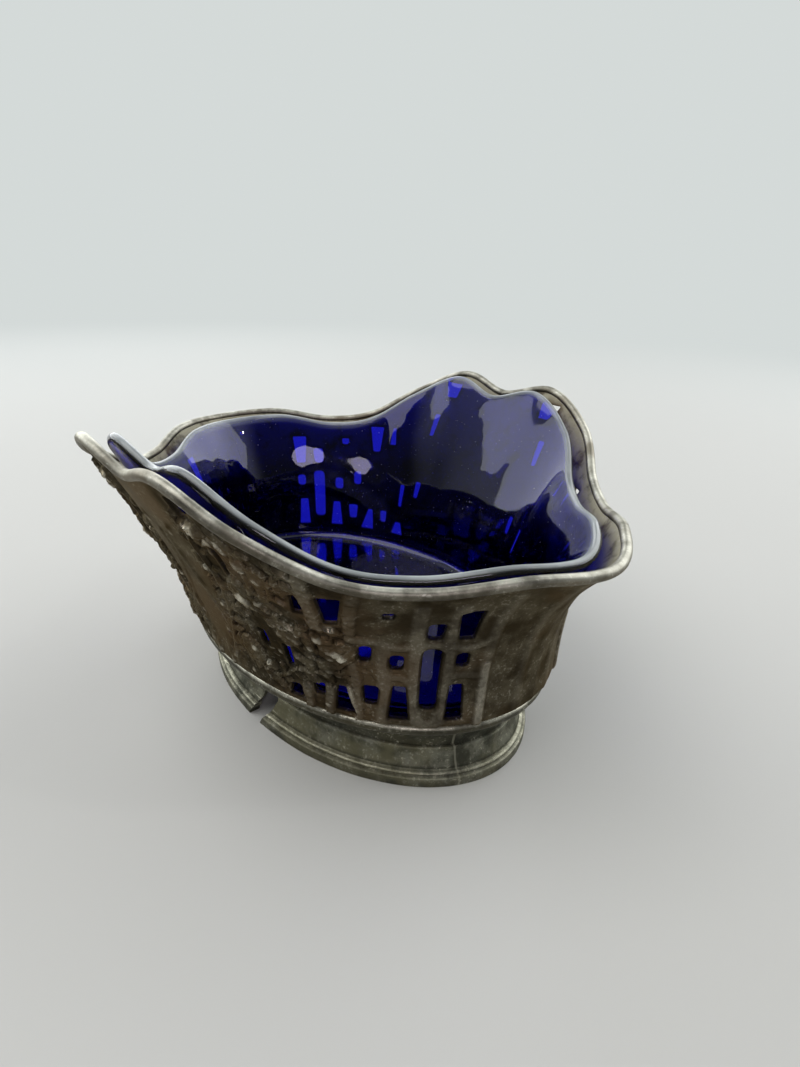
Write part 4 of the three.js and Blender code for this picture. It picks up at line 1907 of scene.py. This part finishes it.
class LampShape(Enum):
    """Outline of a soft lamp's face."""

    RECTANGLE = "RECTANGLE"
    ELLIPSE = "ELLIPSE"


@dataclass(frozen=True)
class Softbox:
    """A soft lamp: where it hangs in degrees and metres, its size, and how bright its face is."""

    name: str
    azimuth: float
    elevation: float
    distance: float
    width: float
    height: float
    radiance: float
    colour: Colour = (1.0, 0.99, 0.97)
    shape: LampShape = LampShape.RECTANGLE


SOFTBOXES = (
    Softbox("ceiling_softbox", -15.0, 62.0, 1.1, 1.1, 0.95, 2.0),
    Softbox("left_softbox", -92.0, 22.0, 1.1, 2.2, 0.85, 2.0, (0.95, 0.98, 1.0)),
    Softbox("back_softbox", 163.0, 30.0, 1.1, 1.4, 0.95, 1.9, (0.97, 0.99, 1.0)),
    Softbox("front_window", 50.0, 22.0, 1.2, 0.44, 0.46, 3.4, (1.0, 0.93, 0.96), LampShape.ELLIPSE),
    Softbox("small_lamp", 118.0, 58.0, 1.2, 0.05, 0.05, 60.0),
)


def direction(azimuth: float, elevation: float) -> Vector:
    """Direction from the bowl towards an azimuth and elevation in degrees."""
    turn, rise = math.radians(azimuth), math.radians(elevation)
    return Vector((math.sin(turn) * math.cos(rise), -math.cos(turn) * math.cos(rise), math.sin(rise)))


@dataclass(frozen=True)
class Studio:
    """Pale floor, soft lights and the camera of the photograph.

    The camera's distance and aim are millimetres, its pan and tilt degrees off the line to its aim.
    The floor turns into the backdrop between the two distances of floor_fade, in metres.
    """

    azimuth: float = 48.8
    elevation: float = 29.8
    distance: float = 192.5
    aim_height: float = 30.0
    pan: float = 3.71
    tilt: float = 4.92
    focal_pixels: float = 611.0
    frame_pixels: float = 1067.0
    sensor: float = 36.0
    floor_half: float = 12000.0
    floor_fade: tuple[float, float] = (0.3, 1.1)
    floor_colour: Colour = (0.62, 0.62, 0.60)
    backdrop: Colour = (0.66, 0.70, 0.69)
    fill: float = 0.25
    dark_turn: float = 12.0
    dark_rise: float = 6.0

    def camera(self) -> None:
        """Set the camera at the photograph's place."""
        back = direction(self.azimuth, self.elevation)
        spot = back * self.distance + Vector((0, 0, self.aim_height))
        ahead = -back
        right = ahead.cross(Vector((0, 0, 1))).normalized()
        up = right.cross(ahead)
        pan, tilt = math.radians(self.pan), math.radians(self.tilt)
        look = ahead * math.cos(pan) * math.cos(tilt) + right * math.sin(pan) * math.cos(tilt)
        look = (look + up * math.sin(tilt)).normalized()
        side = look.cross(up).normalized()
        turn = Matrix((side, side.cross(look), -look)).transposed().to_4x4()
        data = bpy.data.cameras.new("photo_camera")
        data.sensor_width = self.sensor
        data.lens = self.focal_pixels * self.sensor / self.frame_pixels
        data.clip_start = 5 * MM
        camera = add_object("photo_camera", data)
        camera.matrix_world = Matrix.Translation(spot * MM) @ turn
        bpy.context.scene.camera = camera

    def seen(self, graph: Graph) -> Sock:
        """Tell rays that show the background from rays that carry light.

        Args:
            graph: The graph that asks.

        Returns:
            1 for rays that show the background, or else 0.
        """
        path = graph.add("ShaderNodeLightPath")
        kinds = ("Is Camera Ray", "Is Glossy Ray", "Is Transmission Ray")
        first, second, third = (Sock(graph, path.outputs[kind]) for kind in kinds)
        return (first + second + third).clamped()

    def floor(self) -> None:
        """Lay a wide pale floor that turns into the backdrop far from the bowl."""
        material, graph, shader = new_material("Pale Floor")
        where = graph.sock("ShaderNodeTexCoord", output="Object")
        shade = tuple(c * 0.96 for c in self.floor_colour)
        colour = graph.colour_mix(graph.noise(where, 400.0, 2.0), shade, self.floor_colour)
        graph.fill(shader, {"Base Color": colour, "Roughness": 0.8})
        far = graph.vector("LENGTH", where).step(*self.floor_fade) * self.seen(graph)
        glow = graph.add("ShaderNodeEmission", {"Color": (*self.backdrop, 1.0)})
        graph.show_mix(far, shader, glow)
        half = self.floor_half
        corners = [(-half, -half, 0), (half, -half, 0), (half, half, 0), (-half, half, 0)]
        mesh_object("floor", corners, [(0, 1, 2, 3)], material)

    def sky_light(self) -> None:
        """Fill the world with soft light and show the backdrop, which metal mirrors darker in front."""
        world = bpy.data.worlds.new("studio")
        bpy.context.scene.world = world
        world.use_nodes = True
        graph = Graph(world.node_tree)
        world.node_tree.nodes.clear()
        way = graph.sock("ShaderNodeTexCoord", output="Generated")
        front = direction(self.azimuth - self.dark_turn, self.dark_rise)
        ahead = graph.vector("DOT_PRODUCT", way, tuple(front)).step(0.1, 0.6)
        mirrored = graph.sock("ShaderNodeLightPath", output="Is Glossy Ray")
        light, shown = (
            graph.sock("ShaderNodeBackground", {"Color": (*self.backdrop, 1), "Strength": strength})
            for strength in (self.fill, 1.0 - ahead * mirrored * 0.9)
        )
        both = graph.sock("ShaderNodeMixShader", {0: self.seen(graph), 1: light, 2: shown})
        graph.add("ShaderNodeOutputWorld", {"Surface": both})

    def softbox(self, box: Softbox) -> None:
        """Hang a softbox that faces the bowl.

        Args:
            box: The softbox.
        """
        data = bpy.data.lights.new(box.name, "AREA")
        data.shape = box.shape.value
        data.size = box.width
        data.size_y = box.height
        data.energy = box.radiance * math.pi * box.width * box.height
        data.color = box.colour
        lamp = add_object(box.name, data)
        away = direction(box.azimuth, box.elevation) * box.distance
        lamp.location = away + Vector((0, 0, self.aim_height * MM))
        lamp.rotation_euler = (-away).to_track_quat("-Z", "Y").to_euler()
        lamp.visible_camera = False

    def build(self) -> None:
        """Build the whole stage."""
        bpy.context.scene.view_settings.view_transform = "Standard"
        self.camera()
        self.floor()
        self.sky_light()
        for box in SOFTBOXES:
            self.softbox(box)


# Assembly


@dataclass(frozen=True)
class Finishes:
    """The finishes of the bowl."""

    # Its worn colour also paints highlights on tops and crests, its dark colours also paint shade in
    # hollows.
    wall: AgedMetal = AgedMetal(
        name="Tarnished Pewter Wall",
        dark=(0.026, 0.020, 0.012),
        mid=(0.096, 0.083, 0.056),
        tint=(0.090, 0.060, 0.033),
        worn_and_lit=(0.50, 0.47, 0.39),
        wear=0.4,
        scratches=0.35,
        has_relief=True,
    )
    # Its worn colour also paints highlight lines on the edges, its dark colours also paint shade in the
    # corners and cove.
    foot: AgedMetal = AgedMetal(
        name="Tarnished Pewter Foot",
        dark=(0.042, 0.043, 0.031),
        mid=(0.19, 0.19, 0.148),
        tint=(0.15, 0.14, 0.082),
        worn_and_lit=(0.56, 0.54, 0.42),
        edge=(0.78, 0.77, 0.66),
        metallic=0.6,
        cloud_size=5.0,
        tint_size=14.0,
        wear=0.55,
        scratches=0.9,
        pitting=0.8,
        rubbed_and_lit_evenly=0.1,
        seam_angle=-14.5,
        has_relief=True,
    )
    floor: AgedMetal = AgedMetal(
        name="Dark Tarnished Floor",
        dark=(0.008, 0.008, 0.006),
        mid=(0.030, 0.029, 0.022),
        tint=(0.024, 0.019, 0.012),
        worn_and_lit=(0.22, 0.21, 0.17),
        metallic=0.6,
        rough=0.6,
        wear=0.3,
        scratches=0.3,
    )
    # Pale on its upper side: wear, and a painted highlight from above.
    wire: AgedMetal = AgedMetal(
        name="Rim Wire Rubbed And Top Lit",
        dark=(0.070, 0.062, 0.046),
        mid=(0.18, 0.165, 0.13),
        tint=(0.13, 0.105, 0.07),
        worn_and_lit=(0.62, 0.61, 0.54),
        edge=(0.95, 0.93, 0.87),
        rough=0.46,
        wear=0.4,
        rubbed_and_lit_top=0.48,
    )
    # Dark, pale only on its upper side: wear with a painted highlight on top, and painted shade below.
    base: AgedMetal = AgedMetal(
        name="Base Wire Rubbed, Top Lit And Shaded Below",
        dark=(0.030, 0.029, 0.021),
        mid=(0.085, 0.082, 0.060),
        tint=(0.060, 0.052, 0.030),
        worn_and_lit=(0.62, 0.60, 0.50),
        edge=(0.9, 0.88, 0.8),
        metallic=0.7,
        rough=0.44,
        cloud_size=4.0,
        wear=0.45,
        rubbed_and_lit_top=1.3,
        rubbed_and_lit_from=0.2,
    )
    glass: CobaltGlass = CobaltGlass()


@dataclass(frozen=True)
class Bowl:
    """The whole footed bowl.

    Its base wire is a little thicker than the solid one and lifted by base_lift gaps, and its
    rim wire a little thinner, so that its lumps stay inside the solid one.
    """

    base_length: float = 126.6
    base_width: float = 89.8
    foot_height: float = 20.0
    gap: float = 0.3
    base_wire: float = 3.0
    base_swell: float = 0.2
    base_lift: float = 1.7
    rim_wire: float = 3.0
    rim_slack: float = 0.45
    plate: float = 1.2
    wall: float = 1.3
    wall_heel: float = 2.2
    glass: float = 2.4
    glass_heel: float = 4.0
    side_clearance: float = 1.6
    rim_inset: float = 6.0
    rim_rise: float = 0.12

    def body_skin(self) -> Skin:
        """Work out the middle surface of the metal wall.

        Returns:
            The surface.
        """
        return Skin(
            length=self.base_length - self.base_wire + 2 * self.wall_heel,
            width=self.base_width - self.base_wire + 2 * self.wall_heel,
            floor=self.foot_height + 2 * self.gap + self.base_wire + self.wall / 2,
            heel=self.wall_heel,
        )

    def liner_skin(self) -> Skin:
        """Work out the middle surface of the glass.

        Returns:
            The surface.
        """
        inset = self.wall / 2 + self.side_clearance + self.glass / 2
        return Skin(
            length=self.base_length - self.base_wire - 2 * inset,
            width=self.base_width - self.base_wire - 2 * inset,
            floor=self.foot_height + 2 * self.gap + self.plate + self.glass / 2,
            heel=self.glass_heel,
            inset=self.rim_inset,
            rise=self.rim_rise,
        )

    def base_path(self, angle: Array) -> Array:
        """Middle of the wire round the body's base, raised by the solder under the wall.

        Args:
            angle: Polar angles.

        Returns:
            Rows of x, y and z.
        """
        reach = oval_reach(self.base_length - self.base_wire, self.base_width - self.base_wire, angle)
        height = np.full_like(angle, self.foot_height + self.base_lift * self.gap + self.base_wire / 2)
        return round_points(reach, angle, height)

    def build(self, finishes: Finishes, frame: dict[str, Any]) -> None:
        """Build every piece in order, from the foot up.

        Args:
            finishes: The finishes.
            frame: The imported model's frame.
        """
        wall_metal = finishes.wall.build()
        skin = self.body_skin()
        foot = Foot(self.base_length, self.base_width, self.foot_height, self.base_wire)
        foot.build(finishes.foot.build())
        plate = frame["nodes"]["floor_plate"].data
        plate.materials.clear()
        plate.materials.append(finishes.floor.build())
        wires = wire_tree()
        base = Wire("base_moulding", "base_wire", self.base_wire + self.base_swell, 0.08)
        base.build(wires, self.base_path, finishes.base.build())
        for side, node in ((Side.FRONT, "front_wall"), (Side.BACK, "back_wall")):
            OpenworkWall(side, node, skin, self.wall, self.rim_wire, self.gap).build(wall_metal)
        rim = Wire("rim_moulding", "rim_wire", self.rim_wire - self.rim_slack, 0.05)
        rim.build(wires, lambda angle: skin.point(angle, np.ones_like(angle)), finishes.wire.build())
        Liner(self.liner_skin(), self.glass).build(finishes.glass.build())


def main() -> None:
    """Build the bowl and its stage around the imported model."""
    logging.basicConfig(level=logging.INFO, format="%(name)s %(message)s")
    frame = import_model()
    Studio().build()
    Bowl().build(Finishes(), frame)


if __name__ == "__main__":
    main()
